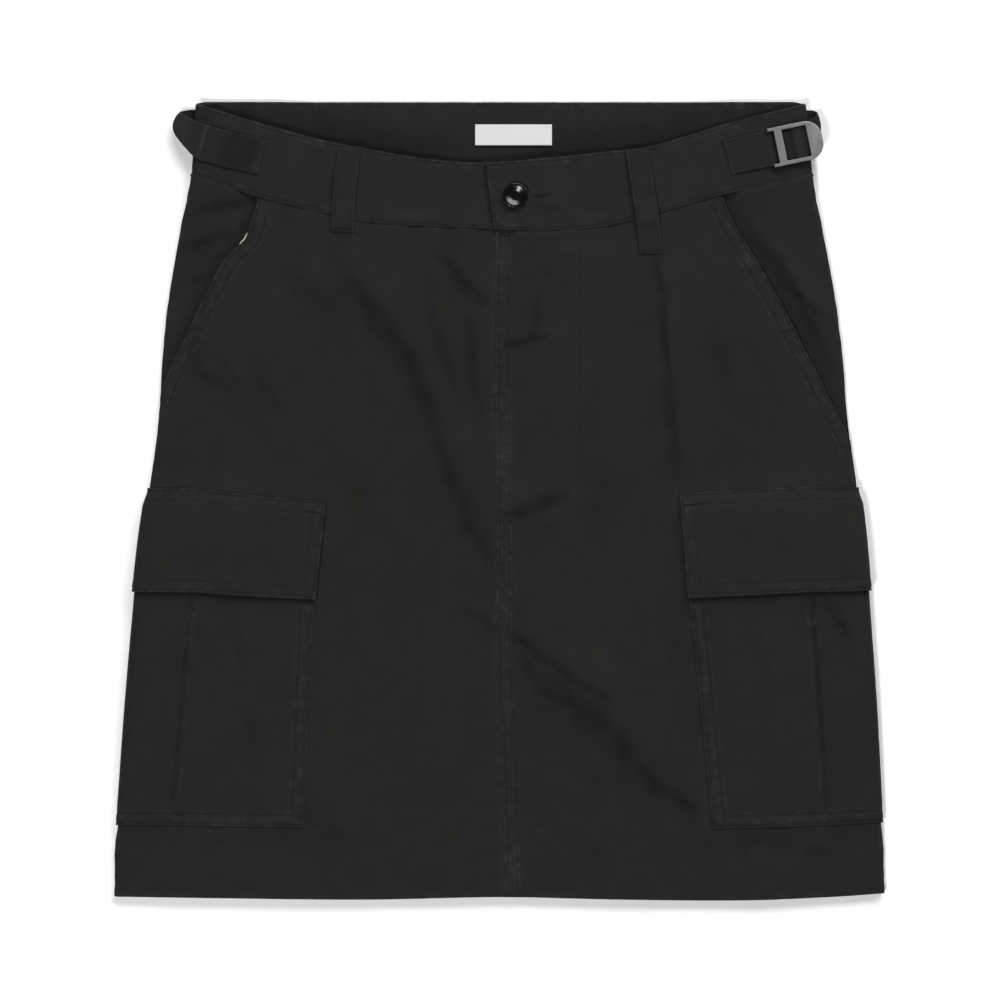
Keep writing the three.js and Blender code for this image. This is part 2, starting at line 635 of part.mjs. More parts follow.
const puffAcross = (inward) => {
  const pleated = 1 - PLEAT_STEP.down * ramp(inward, PLEAT_STEP.from, PLEAT_STEP.to);
  return ramp(inward, PUFF_FROM, PUFF_FULL) * pleated * ramp(inward, POCKET_HALF, PUFF_EDGE);
};
const pocketLift = (inward, share) => PLY + puffAt(share) * puffAcross(inward);
const flapLift = (inward, share) => {
  if (share <= POCKET_TOP) return PLY + pocketLift(inward, share);
  return PLY + PLY * ramp(share, FLAP_SEWN, POCKET_TOP);
};

// One piece round the side seam, and its flap over it. The pleats are steps in the pocket's face.
function makeCargoPocket(side) {
  const edgeAt = (share) => POCKET_HALF + POCKET_LEAN[side] * ramp(share, FLAP_FOOT, POCKET_FOOT);
  const pocketColumns = (share) => [-POCKET_HALF, ...POCKET_PLACES, edgeAt(share)];
  const flapColumns = () => [-FLAP_HALF, ...POCKET_PLACES, FLAP_HALF];
  const riseOf = (inward, share) => POCKET_TILT[side] * ramp(inward, 0, POCKET_HALF) * ramp(share, ...TILT_ROWS);
  bodyWall("cargo_pocket_" + side, side, POCKET_ROWS, pocketColumns, pocketLift, { riseOf });
  bodyWall("cargo_flap_" + side, side, FLAP_ROWS, flapColumns, flapLift, { riseOf });
}

// A dished disc with a raised rim.
function makeButton() {
  const { across, up, radius, tall } = BUTTON;
  const profile = [
    [0, 0],
    [radius * 0.8, 0],
    [radius, tall * 0.35],
    [radius, tall * 0.8],
    [radius * 0.9, tall],
    [radius * 0.76, tall],
    [radius * 0.55, tall * 0.62],
    [0, tall * 0.55],
  ];
  const disc = new THREE.LatheGeometry(profile.map(([r, z]) => new THREE.Vector2(r, z)), 24);
  disc.rotateX(Math.PI / 2);
  disc.translate(across, up, bandTop + OVERLAP_RISE + SEAM);
  addPiece("button", disc, PLASTIC);
}

function makeLabel() {
  const { left, right, low, high, thick } = LABEL;
  const backInside = onBody("right", -100, 1.5, BAND_LIFT - BAND / 2).z;
  const label = new THREE.BoxGeometry(right - left, high - low, thick);
  label.translate((left + right) / 2, (low + high) / 2, backInside + SEAM + thick / 2);
  addPiece("label", label, LABEL_CLOTH);
}

// A flat metal slide: a crossbar with short horns beyond it, a window for the strap, and a broad plate.
function makeBuckle() {
  const { across, up, turn, long, wide, thick, bar, horn, crossbar, crossbarIn, plate, corner } = BUCKLE;
  const halfLong = long / 2;
  const halfWide = wide / 2;
  const cornerSteps = [0, 1, 2, 3, 4, 5];
  const round = (middleUp, start) =>
    cornerSteps.map((step) => {
      const angle = start + (step * Math.PI) / 10;
      return [halfLong - corner + corner * Math.cos(angle), middleUp + corner * Math.sin(angle)];
    });
  const points = [
    [-halfLong, -halfWide],
    ...round(corner - halfWide, -Math.PI / 2),
    ...round(halfWide - corner, 0),
    [-halfLong, halfWide],
    [-halfLong, halfWide - horn],
    [crossbarIn - halfLong, halfWide - horn],
    [crossbarIn - halfLong, horn - halfWide],
    [-halfLong, horn - halfWide],
  ];
  const outline = new THREE.Shape(points.map(([x, y]) => new THREE.Vector2(x, y)));
  const windowLeft = crossbarIn + crossbar - halfLong;
  const windowRight = halfLong - plate;
  const opening = new THREE.Path();
  opening.moveTo(windowLeft, bar - halfWide);
  opening.lineTo(windowLeft, halfWide - bar);
  opening.lineTo(windowRight, halfWide - bar);
  opening.lineTo(windowRight, bar - halfWide);
  outline.holes.push(opening);
  const slide = new THREE.ExtrudeGeometry(outline, { depth: thick, bevelEnabled: false });
  slide.rotateZ(turn);
  slide.translate(across, up, strapZoneTop + SEAM + STRAP + SEAM);
  addPiece("slide_buckle", slide, METAL);
}

backWall("back_panel", BACK_ROWS, BACK_PLACES, 0, CLOTH / 2, turnedHem);
for (const side of ["left", "right"]) {
  makeFront(side);
  makeSlantPocket(side);
  makeCargoPocket(side);
}
makeCentreFront();
makeWaistband();
makeBeltLoops();
makeStraps();
makeButton();
makeLabel();
makeBuckle();

export default skirt;
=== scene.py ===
# %% [markdown]
# # A cargo utility skirt, laid flat
# The skirt is heavy charcoal cotton twill, buttoned at the waist and laid front up on a pale surface, with
# the camera straight above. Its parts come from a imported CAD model, the frame. Blender adds what the frame
# leaves out: thin cloth, folds, sewing, weave and finish. Sizes are in millimetres, and meshes are made in
# metres.

import math

import bmesh
import bpy
import numpy as np
from mathutils import Matrix, Vector, geometry


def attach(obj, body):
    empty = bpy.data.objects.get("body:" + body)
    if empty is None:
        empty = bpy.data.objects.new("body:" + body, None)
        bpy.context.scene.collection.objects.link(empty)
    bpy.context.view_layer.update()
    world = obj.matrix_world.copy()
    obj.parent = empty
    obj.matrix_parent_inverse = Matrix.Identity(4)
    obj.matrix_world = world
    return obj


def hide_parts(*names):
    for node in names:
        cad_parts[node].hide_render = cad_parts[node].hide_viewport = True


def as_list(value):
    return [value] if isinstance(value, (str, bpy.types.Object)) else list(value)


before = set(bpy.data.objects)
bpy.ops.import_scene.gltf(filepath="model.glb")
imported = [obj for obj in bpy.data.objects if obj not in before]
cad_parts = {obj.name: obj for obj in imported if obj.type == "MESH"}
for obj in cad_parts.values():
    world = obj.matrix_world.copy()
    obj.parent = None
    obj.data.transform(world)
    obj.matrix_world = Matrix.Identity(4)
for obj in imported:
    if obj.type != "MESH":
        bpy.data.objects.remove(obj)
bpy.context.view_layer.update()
MM = 0.001


def put_in_scene(name, data):
    """An object for a mesh, a lamp or a camera, linked into the scene."""
    thing = bpy.data.objects.new(name, data)
    bpy.context.scene.collection.objects.link(thing)
    return thing


# %% [markdown]
# ## The camera
# The garment lies flat and was photographed from straight above through a long lens, so its outline keeps
# its shape. The picture takes in 600 mm. A camera without rotation already looks down, with +Y at the
# picture's top.

# %% Camera above
PICTURE_WIDTH = 0.6
LENS_HEIGHT = 2.0
SKIRT_TOP = 0.005
PICTURE_MIDDLE = (0.0003, 0.0003)
lens = bpy.data.cameras.new("camera_above")
lens.sensor_width = 36.0
lens.lens = lens.sensor_width * LENS_HEIGHT / PICTURE_WIDTH
camera = put_in_scene("camera_above", lens)
camera.location = (*PICTURE_MIDDLE, LENS_HEIGHT + SKIRT_TOP)
bpy.context.scene.camera = camera
print("lens", round(lens.lens), "mm")

# %% [markdown]
# ## Shader sums
# A shader is a graph of nodes. Written as a graph it hides its own arithmetic, so a socket is wrapped here in
# a small class: adding or multiplying two of them adds the Math nodes, and `1 - mask` works as on paper.
# Every other node comes from one method, which sets the node's options first and then its sockets. The room's
# light is such a graph too, so a finish can belong to the world as well as to a material.


# %% A socket that can be reckoned with
class Shade:
    def __init__(self, finish, socket):
        self.finish = finish
        self.socket = socket

    def math(self, operation, *others):
        sockets = dict(enumerate([self, *others]))
        return self.finish.node("ShaderNodeMath", {"operation": operation}, sockets)

    def __add__(self, other):
        return self.math("ADD", other)

    __radd__ = __add__

    def __mul__(self, other):
        return self.math("MULTIPLY", other)

    __rmul__ = __mul__

    def __sub__(self, other):
        return self.math("SUBTRACT", other)

    def __rsub__(self, other):
        return self.math("MULTIPLY", -1.0).math("ADD", other)

    def __truediv__(self, other):
        return self.math("DIVIDE", other)

    def between(self, low, high):
        return self.math("MINIMUM", high).math("MAXIMUM", low)


# %% A finish and its nodes
class Finish:
    def __init__(self, name, owners=bpy.data.materials, output="ShaderNodeOutputMaterial"):
        self.owner = owners.new(name)
        self.owner.use_nodes = True
        self.tree = self.owner.node_tree
        self.tree.nodes.clear()
        self.output = self.tree.nodes.new(output)

    def node(self, kind, settings=None, sockets=None, out=0):
        made = self.tree.nodes.new(kind)
        for name, value in (settings or {}).items():
            setattr(made, name, value)
        for name, value in (sockets or {}).items():
            if isinstance(value, Shade):
                self.tree.links.new(value.socket, made.inputs[name])
            else:
                made.inputs[name].default_value = value
        return Shade(self, made.outputs[out])

    def noise(self, where, scale, detail=3.0, rough=0.55):
        sockets = {"Vector": where, "Scale": scale, "Detail": detail, "Roughness": rough}
        return self.node("ShaderNodeTexNoise", {}, sockets)

    def blend(self, share, first, second, clamped=True):
        settings = {"data_type": "RGBA", "clamp_factor": clamped}
        sockets = {0: share, 6: first, 7: second}
        return self.node("ShaderNodeMix", settings, sockets, out=2)

    def stretched(self, where, scales):
        return self.node("ShaderNodeVectorMath", {"operation": "MULTIPLY"}, {0: where, 1: scales})

    def yarns(self, grain):
        """How far across and along the cloth a place is, in millimetres."""
        split = [self.node("ShaderNodeSeparateXYZ", {}, {0: grain}, out=k) for k in (0, 1)]
        return [part / MM for part in split]

    def mark(self, name):
        return self.node("ShaderNodeAttribute", {"attribute_name": name}, {}, out=2)

    def bump(self, strength, distance, height):
        sockets = {"Strength": strength, "Distance": distance, "Height": height}
        return self.node("ShaderNodeBump", {}, sockets)

    def shown_by(self, shader):
        self.tree.links.new(shader.socket, self.output.inputs["Surface"])
        return self.owner

    def surface(self, sockets):
        return self.shown_by(self.node("ShaderNodeBsdfPrincipled", {}, sockets))


# %% [markdown]
# ## Floor and light
# The picture is a plain white studio one, with a faint soft shadow below the hem. A white floor and two lamps
# give that: a broad one above the waist, so that the folds shade softly, and a small one beyond the hem,
# which lights their other sides. The room itself is dim, and dimmer overhead than at its walls, so polished
# parts keep their depth.

# %% Pale floor
floor_finish = Finish("floor_paint")
floor_place = floor_finish.node("ShaderNodeNewGeometry")
floor_grain = floor_finish.noise(floor_place, 40.0)
floor_colour = floor_finish.blend(floor_grain, (0.94, 0.94, 0.94, 1), (0.97, 0.97, 0.97, 1))
floor_material = floor_finish.surface({"Base Color": floor_colour, "Roughness": 0.9})
FLOOR_DROP = -0.0002
FLOOR_CORNERS = [(-4, -4, 0), (4, -4, 0), (4, 4, 0), (-4, 4, 0)]
floor_mesh = bpy.data.meshes.new("floor")
floor_mesh.from_pydata(FLOOR_CORNERS, [], [(0, 1, 2, 3)])
floor_mesh.materials.append(floor_material)
floor = put_in_scene("floor", floor_mesh)
floor.location = (0, 0, FLOOR_DROP)

# %% Soft lamps
LAMPS = {
    "lamp_above_waist": {"place": (0.9, 2.0, 1.6), "size": (3.6, 1.1), "watts": 96},
    "lamp_above_hem": {"place": (-1.0, -1.5, 2.4), "size": (0.9, 0.9), "watts": 66},
}


def hang_lamp(name, place, size, watts):
    light = bpy.data.lights.new(name, "AREA")
    light.shape = "ELLIPSE"
    light.size, light.size_y = size
    light.energy = watts
    lamp = put_in_scene(name, light)
    lamp.location = place
    lamp.rotation_mode = "QUATERNION"
    lamp.rotation_quaternion = Vector(place).to_track_quat("Z", "Y")


for lamp_name, lamp_facts in LAMPS.items():
    hang_lamp(lamp_name, **lamp_facts)
print("lamps", len(LAMPS))

# %% Dim room
ROOM = {"From Min": 0.35, "From Max": 0.95, "To Min": 1.05, "To Max": 0.4}
ROOM_GREY = (0.05, 0.05, 0.05, 1)
room = Finish("white_room", bpy.data.worlds, "ShaderNodeOutputWorld")
room_up = room.node("ShaderNodeSeparateXYZ", {}, {0: room.node("ShaderNodeTexCoord")}, out=2)
room_light = room.node("ShaderNodeMapRange", {}, {"Value": room_up, **ROOM})
room_glow = room.node("ShaderNodeBackground", {}, {"Color": ROOM_GREY, "Strength": room_light})
bpy.context.scene.world = room.shown_by(room_glow)
bpy.context.scene.view_settings.view_transform = "Standard"

# %% [markdown]
# ## Twill
# Twill is woven so that each warp yarn floats over several others, one step further on in each row, and the
# floats line up in fine steep ribs. The cloth's own map, measured in metres along its grain, carries the
# ribs, so they turn with each piece as it was cut. Washing lightens the yarn at edges and seams, which each
# mesh marks in a value named `worn`. A second value darkens the colour as painted shade in creases, seams and
# places under other parts, and rubbed patches take it below zero. Nothing here depends on where the camera
# stands.


# %% Charcoal twill
RIB = (0.95, 1.5)
PICK = (0.31, 0.62)
SLUB = (1400.0, 260.0, 1.0)


def make_twill():
    finish = Finish("charcoal_twill")
    grain = finish.node("ShaderNodeUVMap", {"uv_map": "grain"})
    across, along = finish.yarns(grain)
    unevenness = finish.noise(grain, 900.0, 2.0) - 0.5
    rib = ((across / RIB[0] + along / RIB[1] + unevenness * 0.5) * math.tau).math("SINE") * 0.5 + 0.5
    pick = ((along / PICK[1] + across / PICK[0]) * math.tau).math("SINE") * 0.5 + 0.5
    slub = finish.noise(finish.stretched(grain, SLUB), 1.0, 2.0)
    fuzz = finish.noise(grain, 2600.0, 2.0)
    height = rib * 0.6 + pick * 0.22 + slub * 0.5 + fuzz * 0.25
    worn = finish.mark("worn")
    # Painted shade: the second mark darkens the colour in creases, along seams and under other parts; below
    # zero it is rubbed-pale wear.
    hollow = finish.mark("hollow")
    patchy = finish.noise(grain, 190.0, 3.0)
    washed = finish.noise(grain, 22.0, 3.0)
    mottle = finish.noise(grain, 90.0, 4.0, 0.65)
    lighter = (rib - 0.5) * 0.14 + (slub - 0.5) * 0.3 + (washed - 0.5) * 0.5 + (mottle - 0.5) * 0.6
    rubbed = worn * (patchy * 3.4 - 1.35).math("MAXIMUM", 0.0)
    share = (lighter * 0.55 + 0.33 + rubbed - hollow * 0.38).between(-0.12, 1.6)
    warmth = (finish.noise(grain, 34.0, 2.0) * 2.4 - 0.7).between(0.0, 1.0)
    pale = finish.blend(warmth, (0.0215, 0.0215, 0.0218, 1), (0.0232, 0.0217, 0.0204, 1))
    dark = finish.blend(warmth, (0.0058, 0.0059, 0.0060, 1), (0.0062, 0.0058, 0.0053, 1))
    return finish.surface({
        "Base Color": finish.blend(share, dark, pale, clamped=False),
        "Roughness": 0.9,
        "Specular IOR Level": 0.16,
        "Sheen Weight": 0.03,
        "Sheen Roughness": 0.4,
        "Normal": finish.bump(0.55, 0.00012, height),
    })


twill = make_twill()


# %% [markdown]
# ## Thread, lining and label
# The seams are sewn in a dull polyester thread of nearly the cloth's colour. The slant pockets are lined in
# plain pale cotton. The label is a dense white satin, drawn as a finer plain weave with a soft gloss.


# %% Thread
def make_thread():
    finish = Finish("charcoal_thread")
    place = finish.node("ShaderNodeNewGeometry")
    twist = finish.noise(place, 2400.0, 2.0)
    tone = finish.noise(place, 60.0, 2.0)
    colour = finish.blend(tone * 0.7 + twist * 0.3, (0.004, 0.004, 0.0038, 1), (0.0165, 0.016, 0.0152, 1))
    return finish.surface({
        "Base Color": colour,
        "Roughness": 0.85,
        "Specular IOR Level": 0.15,
        "Normal": finish.bump(0.4, 0.0001, twist),
    })


# %% Pocket lining and label cloth
def make_plain_weave(name, dark, pale, yarn, rough):
    finish = Finish(name)
    grain = finish.node("ShaderNodeUVMap", {"uv_map": "grain"})
    across, along = finish.yarns(grain)
    warp = (across * (math.tau / yarn)).math("SINE")
    weft = (along * (math.tau / yarn)).math("SINE")
    weave = warp * weft * 0.5 + 0.5
    soil = finish.noise(grain, 60.0, 3.0)
    share = (weave * 0.4 + soil * 0.7).math("MINIMUM", 1.0)
    colour = finish.blend(share, dark, pale)
    bump = finish.bump(0.5, 0.00006, weave)
    return finish.surface({"Base Color": colour, "Roughness": rough, "Normal": bump})


thread = make_thread()
lining = make_plain_weave("pale_pocket_lining", (0.22, 0.21, 0.18, 1), (0.38, 0.36, 0.32, 1), 0.5, 0.9)
label_satin = make_plain_weave("white_label_satin", (0.52, 0.51, 0.52, 1), (0.61, 0.6, 0.61, 1), 0.3, 0.6)
print("cloth finishes", [m.name for m in (twill, thread, lining, label_satin)])

# %% [markdown]
# ## The flattened body
# Front and back lie on each other as one flattened tube. A place on it is told by its side seam, by how much
# cloth lies between that seam and the place, `inward`, counted negative on the back, and by its `share` of
# the way up: 0 at the hem, 1 at the waist seam and 2 at the waistband's top edge. The frame's solids were
# made from the same sizes, so cloth that is laid by them lies where they are.

# %% Sizes of the body
CLOTH = 1.1
BAND = 2.0
STRAP = 1.3
SEAM = 0.3
LAY_ROOM = 0.4
PLY = CLOTH + LAY_ROOM
LOFT = 2.8
HEM_TURN = 45
HEM_SIDE = -237.5
SEAM_SIDE = 194.3
TOP_SIDE = 238
TOP_BACK = 239.4
BACK_SEAM_RISE = 5.7
BACK_FLAT = 176
HALF_WAIST = 184
ROLL = 2.2
ROLL_ARC = 4.2
BAND_LIFT = 0.45
BAND_OUT = BAND_LIFT + BAND / 2 - CLOTH / 2
LENGTH = SEAM_SIDE - HEM_SIDE
BAND_LENGTH = TOP_SIDE - SEAM_SIDE
SIDES = [
    (-238, -231.5, 231.5),
    (-205, -231, 230.5),
    (-193, -229, 229),
    (-119.5, -222.5, 224),
    (-59.5, -217, 219.5),
    (12.5, -209.5, 214),
    (48.5, -205, 209.5),
    (84.5, -203, 206.5),
    (120.5, -199, 202),
    (156.5, -193, 195.5),
    (180.5, -188, 190.5),
    (197, -185, 188),
    (238, -182.5, 184),
]
HEM = [
    (-231, -237.8),
    (-180, -238.5),
    (-80, -239.5),
    (0, -238),
    (72, -239.5),
    (144, -240),
    (198, -238),
    (231, -235.8),
]
WAIST = [
    (-182, 238, 194.3),
    (-146.5, 227, 182),
    (-107.5, 216.5, 172.5),
    (-79.5, 211, 166.5),
    (-44.5, 205, 164),
    (-10, 202.5, 162.5),
    (25, 205, 161),
    (61.5, 209, 163.5),
    (88.5, 212, 170),
    (115, 219.5, 177.5),
    (136.5, 226, 183.5),
    (184, 238, 194.3),
]
CENTRE = [(-238, 4), (-160, 2), (-100, -1), (24, -1.5), (94, -2), (162, -1.5)]


# %% Curves through the sizes
def through(places, values):
    places = np.asarray(places, float)
    values = np.asarray(values, float)
    last = len(places) - 1
    after = np.minimum(np.arange(last + 1) + 1, last)
    before = np.maximum(np.arange(last + 1) - 1, 0)
    slopes = (values[after] - values[before]) / (places[after] - places[before])

    def at(place):
        i = np.clip(np.searchsorted(places, place, side="right") - 1, 0, last - 1)
        span = places[i + 1] - places[i]
        t = np.clip((place - places[i]) / span, 0, 1)
        rise = t * t * (3 - 2 * t)
        lead = t * (1 - t) ** 2 * span * slopes[i]
        trail = t * t * (t - 1) * span * slopes[i + 1]
        return values[i] * (1 - rise) + values[i + 1] * rise + lead + trail

    return at


def ramp(place, start, end):
    return np.clip((np.asarray(place, float) - start) / (end - start), 0, 1)


def eased(place, start, end):
    t = ramp(place, start, end)
    return t * t * (3 - 2 * t)


left_edge = through([row[0] for row in SIDES], [row[1] for row in SIDES])
right_edge = through([row[0] for row in SIDES], [row[2] for row in SIDES])
hem_at = through(*zip(*HEM))
top_at = through([row[0] for row in WAIST], [row[1] for row in WAIST])
seam_at = through([row[0] for row in WAIST], [row[2] for row in WAIST])
centre_at = through(*zip(*CENTRE))

# %% [markdown]
# ### What lies beneath
# The cargo pockets and straps run on round the sides and under the back, and lift it off the floor there. The
# numbers say how much, by height.

# %% Layers under the back
POCKET_HALF = 107
EDGE_RAMP = 14
UNDER_POCKETS = [
    (0, 0),
    (0.075, 0),
    (0.097, PLY),
    (0.4, PLY),
    (0.421, 2 * PLY),
    (0.545, 2 * PLY),
    (0.56, PLY),
    (0.571, PLY),
    (0.595, 0),
    (2, 0),
]
STRAP_UNDER = BAND_OUT + STRAP + LAY_ROOM
STRAP_REACH = 46
STRAP_RAMP = 26
WAIST_RAMP = 0.93


def under(inward, share):
    reach = np.abs(inward)
    edge = POCKET_HALF + 1
    pockets = np.interp(share, *zip(*UNDER_POCKETS)) * (1 - ramp(reach, edge, edge + EDGE_RAMP))
    strap = ramp(reach, STRAP_REACH + STRAP_RAMP, STRAP_REACH)
    band = BAND_OUT + (STRAP_UNDER - BAND_OUT) * strap
    return pockets + band * ramp(share, WAIST_RAMP, 1)


# %% A place on the body
def side_edge(side, share):
    up = HEM_SIDE + share * LENGTH
    up = np.where(share > 1, SEAM_SIDE + (share - 1) * BAND_LENGTH, up)
    edge = np.where(np.asarray(side) > 0, right_edge(up), -left_edge(up))
    return edge - CLOTH / 2 - BAND_OUT * ramp(share, 1.01, 1.05)


def row_height(share, x, front):
    hem = hem_at(x)
    middle = 1 - ramp(np.abs(x), 0, HALF_WAIST) ** 2
    seam = np.where(front, seam_at(x), SEAM_SIDE + BACK_SEAM_RISE * middle)
    body = hem + share * (SEAM_SIDE - hem) + share**2 * (seam - SEAM_SIDE)
    back_top = TOP_BACK - (TOP_BACK - TOP_SIDE) * eased(np.abs(x), BACK_FLAT, HALF_WAIST)
    top = np.where(front, top_at(x), back_top)
    return np.where(share <= 1, body, seam + (share - 1) * (top - seam))


def on_body(side, inward, share, lift, folds=None):
    """Points in millimetres, and the way out of the cloth there."""
    angle = np.clip(inward / ROLL_ARC, -1, 1) * (math.pi / 2)
    flat = np.maximum(np.abs(inward) - ROLL_ARC, 0)
    x = side * (side_edge(side, share) - ROLL * (1 - np.cos(angle)) - flat)
    y = row_height(share, x, inward >= 0)
    half_deep = (CLOTH + LOFT) / 2
    z = CLOTH / 2 + under(inward, share) + half_deep * (1 + np.sin(angle))
    if folds is not None:
        z = z + folds(x, y, inward, share)
    away_x = np.cos(angle) / ROLL
    away_z = np.sin(angle) / half_deep
    size = np.hypot(away_x, away_z)
    away_x, away_z = side * away_x / size, away_z / size
    points = np.stack([x + away_x * lift, y + 0 * lift, z + away_z * lift], axis=-1)
    away = np.stack([away_x, 0 * y, away_z], axis=-1)
    return points, away


def inward_of(side, share, x):
    return ROLL_ARC - ROLL + side_edge(side, share) - side * x


def centre_inward(side, share):
    x = centre_at(row_height(share, 0.0 * share, True))
    return inward_of(side, share, x) - SEAM / 2


# %% [markdown]
# ### Folds
# The skirt was folded and worn, so one long drag fold runs from the left hip to the right of the hem, and
# short ones fan out from the waist. Each is a soft trough between two low swells, drawn along a given path.
# Sums of Gaussian bumps do it cheaply and leave the outline alone. The frame has the same main folds.

# %% Fold paths
MAIN_FOLD = [
    *[(-104, 146), (-80, 115), (-66, 97), (-53, 75), (-37, 30), (-26, 4), (-6, -38), (12, -86)],
    *[(30, -112), (64, -141), (89, -171), (119, -188), (144, -205), (172, -204)],
]
# Each row gives a fold's width, its swells' height, how dark its trough is painted as shade, and its path.
FOLDS = [
    (9, 2.6, 0.3, MAIN_FOLD),
    (5, 1.8, 0.3, [(-36, 146), (-26, 135), (-9, 115)]),
    (4, 2.0, 0.2, [(98, 126), (99, 76), (108, 12)]),
    (5, 1.2, 0.4, [(5, -9), (36, 1)]),
    (5, 1.4, 0.2, [(12, -84), (54, -112)]),
    (5, 1.5, 0.3, [(-182, 93), (-156, 67)]),
]
CREASES = [
    (7.5, 0.8, 0.75, [(-96, 134), (-80, 115), (-66, 97), (-56, 80)]),
    (5.5, 1.0, 0.85, [(-66, 97), (-53, 75), (-44, 52), (-37, 30)]),
    (3.4, 1.3, 1.0, [(-38, 32), (-26, 4), (-17, -21), (-6, -38)]),
    (3.4, 0.9, 0.8, [(-26, -67), (-18, -68), (-8, -74), (-2, -80)]),
    (2.2, 1.5, 1.0, [(6, -78), (12, -84), (24, -95), (39, -105), (54, -112), (64, -119)]),
    (3.0, 1.3, 0.9, [(9, -90), (17, -101), (24, -114), (37, -121), (49, -129)]),
    (8.0, 1.0, 0.85, [(42, -124), (64, -141), (77, -156), (89, -171)]),
    (3.6, 1.2, 0.9, [(78, -160), (96, -174), (119, -186), (131, -194)]),
    (2.8, 1.3, 1.0, [(117, -184), (130, -199), (144, -205), (160, -205), (173, -202)]),
    (4.6, 0.7, 0.8, [(166, -203), (178, -207), (190, -210), (202, -209)]),
    (4.4, 1.5, 1.0, [(-37, 146), (-26, 135), (-15, 122), (-7, 113)]),
    (4.5, 0.8, 0.6, [(-44, 130), (-42, 113), (-31, 84), (-24, 60)]),
    (3.6, 0.8, 0.7, [(-19, 106), (-16, 80), (-13, 44)]),
    (2.6, 1.2, 1.0, [(0, 91), (14, 96), (27, 98)]),
    (3.0, 0.5, 0.6, [(22, 126), (22, 100)]),
    (3.8, 1.2, 1.0, [(4, -11), (14, -9), (26, -4), (38, 1)]),
    (2.4, 0.5, 0.7, [(3, -31), (9, -34)]),
    (1.9, 1.3, 1.0, [(98, 116), (98.5, 96), (99, 76)]),
    (3.6, 0.9, 0.7, [(98.5, 82), (101, 60), (105, 30), (107, 8)]),
    (2.6, 0.7, 0.75, [(92, 152), (96, 130), (98, 112)]),
    (2.6, 1.0, 0.9, [(28, 157), (43, 156.5), (60, 160)]),
    (4.0, 0.9, 0.8, [(-183, 93), (-180, 78), (-170, 70), (-156, 66)]),
    (5.0, 0.5, 0.5, [(-150, 78), (-140, 64), (-132, 52)]),
    (7.0, 0.5, 0.4, [(-130, 134), (-108, 118), (-96, 96)]),
    (5.0, 0.5, 0.4, [(128, 100), (134, 76), (140, 50)]),
    (5.0, 0.4, 0.3, [(150, 96), (160, 70), (170, 52)]),
    (7.0, 0.4, 0.3, [(-124, -190), (-96, -200), (-70, -204)]),
    (6.0, 0.4, 0.3, [(30, -196), (60, -214)]),
    (9.0, 0.5, 0.25, [(-110, 40), (-84, 0), (-60, -34)]),
    (9.0, 0.5, 0.25, [(50, 60), (60, 10), (58, -40)]),
]


def off_path(path, x, y):
    steps = len(path) - 1
    away = np.full(np.shape(x), 1e9)
    along = np.zeros(np.shape(x))
    for i, ((x0, y0), (x1, y1)) in enumerate(zip(path, path[1:])):
        length = math.hypot(x1 - x0, y1 - y0)
        t = np.clip(((x - x0) * (x1 - x0) + (y - y0) * (y1 - y0)) / length**2, 0, 1)
        gap = np.hypot(x - x0 - t * (x1 - x0), y - y0 - t * (y1 - y0))
        nearer = gap < away
        away = np.where(nearer, gap, away)
        along = np.where(nearer, (i + t) / steps, along)
    return away, along


def fold_strength(along):
    return 0.45 + 0.55 * np.sin(math.pi * (0.1 + 0.8 * along))


def wandered(x, y):
    """Places moved a little aside, so that no fold runs as straight as its path."""
    return x + 1.1 * rippled(x, y, 13, 61), y + 1.1 * rippled(x, y, 11, 62)


def swells(folds, x, y):
    """How high the folds lift the cloth: two low swells beside each trough."""
    height = np.zeros(np.shape(x))
    x, y = wandered(x, y)
    for wide, high, _, path in folds:
        away, along = off_path(path, x, y)
        u = away / wide
        height += high * (np.exp(-u * u / 8) - np.exp(-u * u / 0.8)) * fold_strength(along)
    return height


def crease_shade(folds, x, y):
    """How dark the painted shade in the creases is, from 0 to 1."""
    depth = np.zeros(np.shape(x))
    x, y = wandered(x, y)
    uneven = 0.8 + 0.4 * rippled(x, y, 9, 63)
    for wide, _, dark, path in folds:
        away, along = off_path(path, x, y)
        edge = np.sin(math.pi * np.clip(along, 0.04, 0.96)) ** 0.4
        depth = 1 - (1 - depth) * (1 - dark * np.exp(-((away / wide) ** 2)) * edge)
    return depth * uneven


# %% Low unevenness
def rippled(x, y, size, seed):
    """Smooth unevenness from -1 to 1, with swells of about the given size."""
    table = np.random.default_rng(seed).uniform(-1, 1, (64, 64))
    u = np.asarray(x, float) / size + 31.7
    v = np.asarray(y, float) / size + 27.3
    i = np.floor(u).astype(int)
    j = np.floor(v).astype(int)
    s = (u - i) ** 2 * (3 - 2 * (u - i))
    t = (v - j) ** 2 * (3 - 2 * (v - j))
    corner = lambda a, b: table[(i + a) % 64, (j + b) % 64]
    low = corner(0, 0) * (1 - s) + corner(1, 0) * s
    high = corner(0, 1) * (1 - s) + corner(1, 1) * s
    return low * (1 - t) + high * t


def front_fade(inward, share):
    off_pocket = eased(inward, POCKET_HALF + 2, POCKET_HALF + 30)
    clear = eased(share, 0.085, 0.03) + eased(share, 0.585, 0.64)
    return eased(inward, 6, 30) * eased(share, 0.99, 0.9) * np.maximum(off_pocket, clear)


def to_band(x, share):
    """Beside the fly the right front rises to where the lifted end of the band holds it."""
    lifted = 2.35 * eased(x, 46, 25) + 0.75 * eased(x, 72, 50)
    right = 1.2 + (lifted - 1.2) * eased(x, 6, 12)
    return np.where(x > -3, right, 0.35) * eased(share, 0.9, 1)


def front_folds(x, y, inward, share):
    height = swells(FOLDS + CREASES, x, y)
    height = height + 0.35 * (1 + rippled(x, y, 38, 3)) + 0.14 * (1 + rippled(x + 0.6 * y, y, 13, 5))
    return height * front_fade(inward, share) + to_band(x, share)


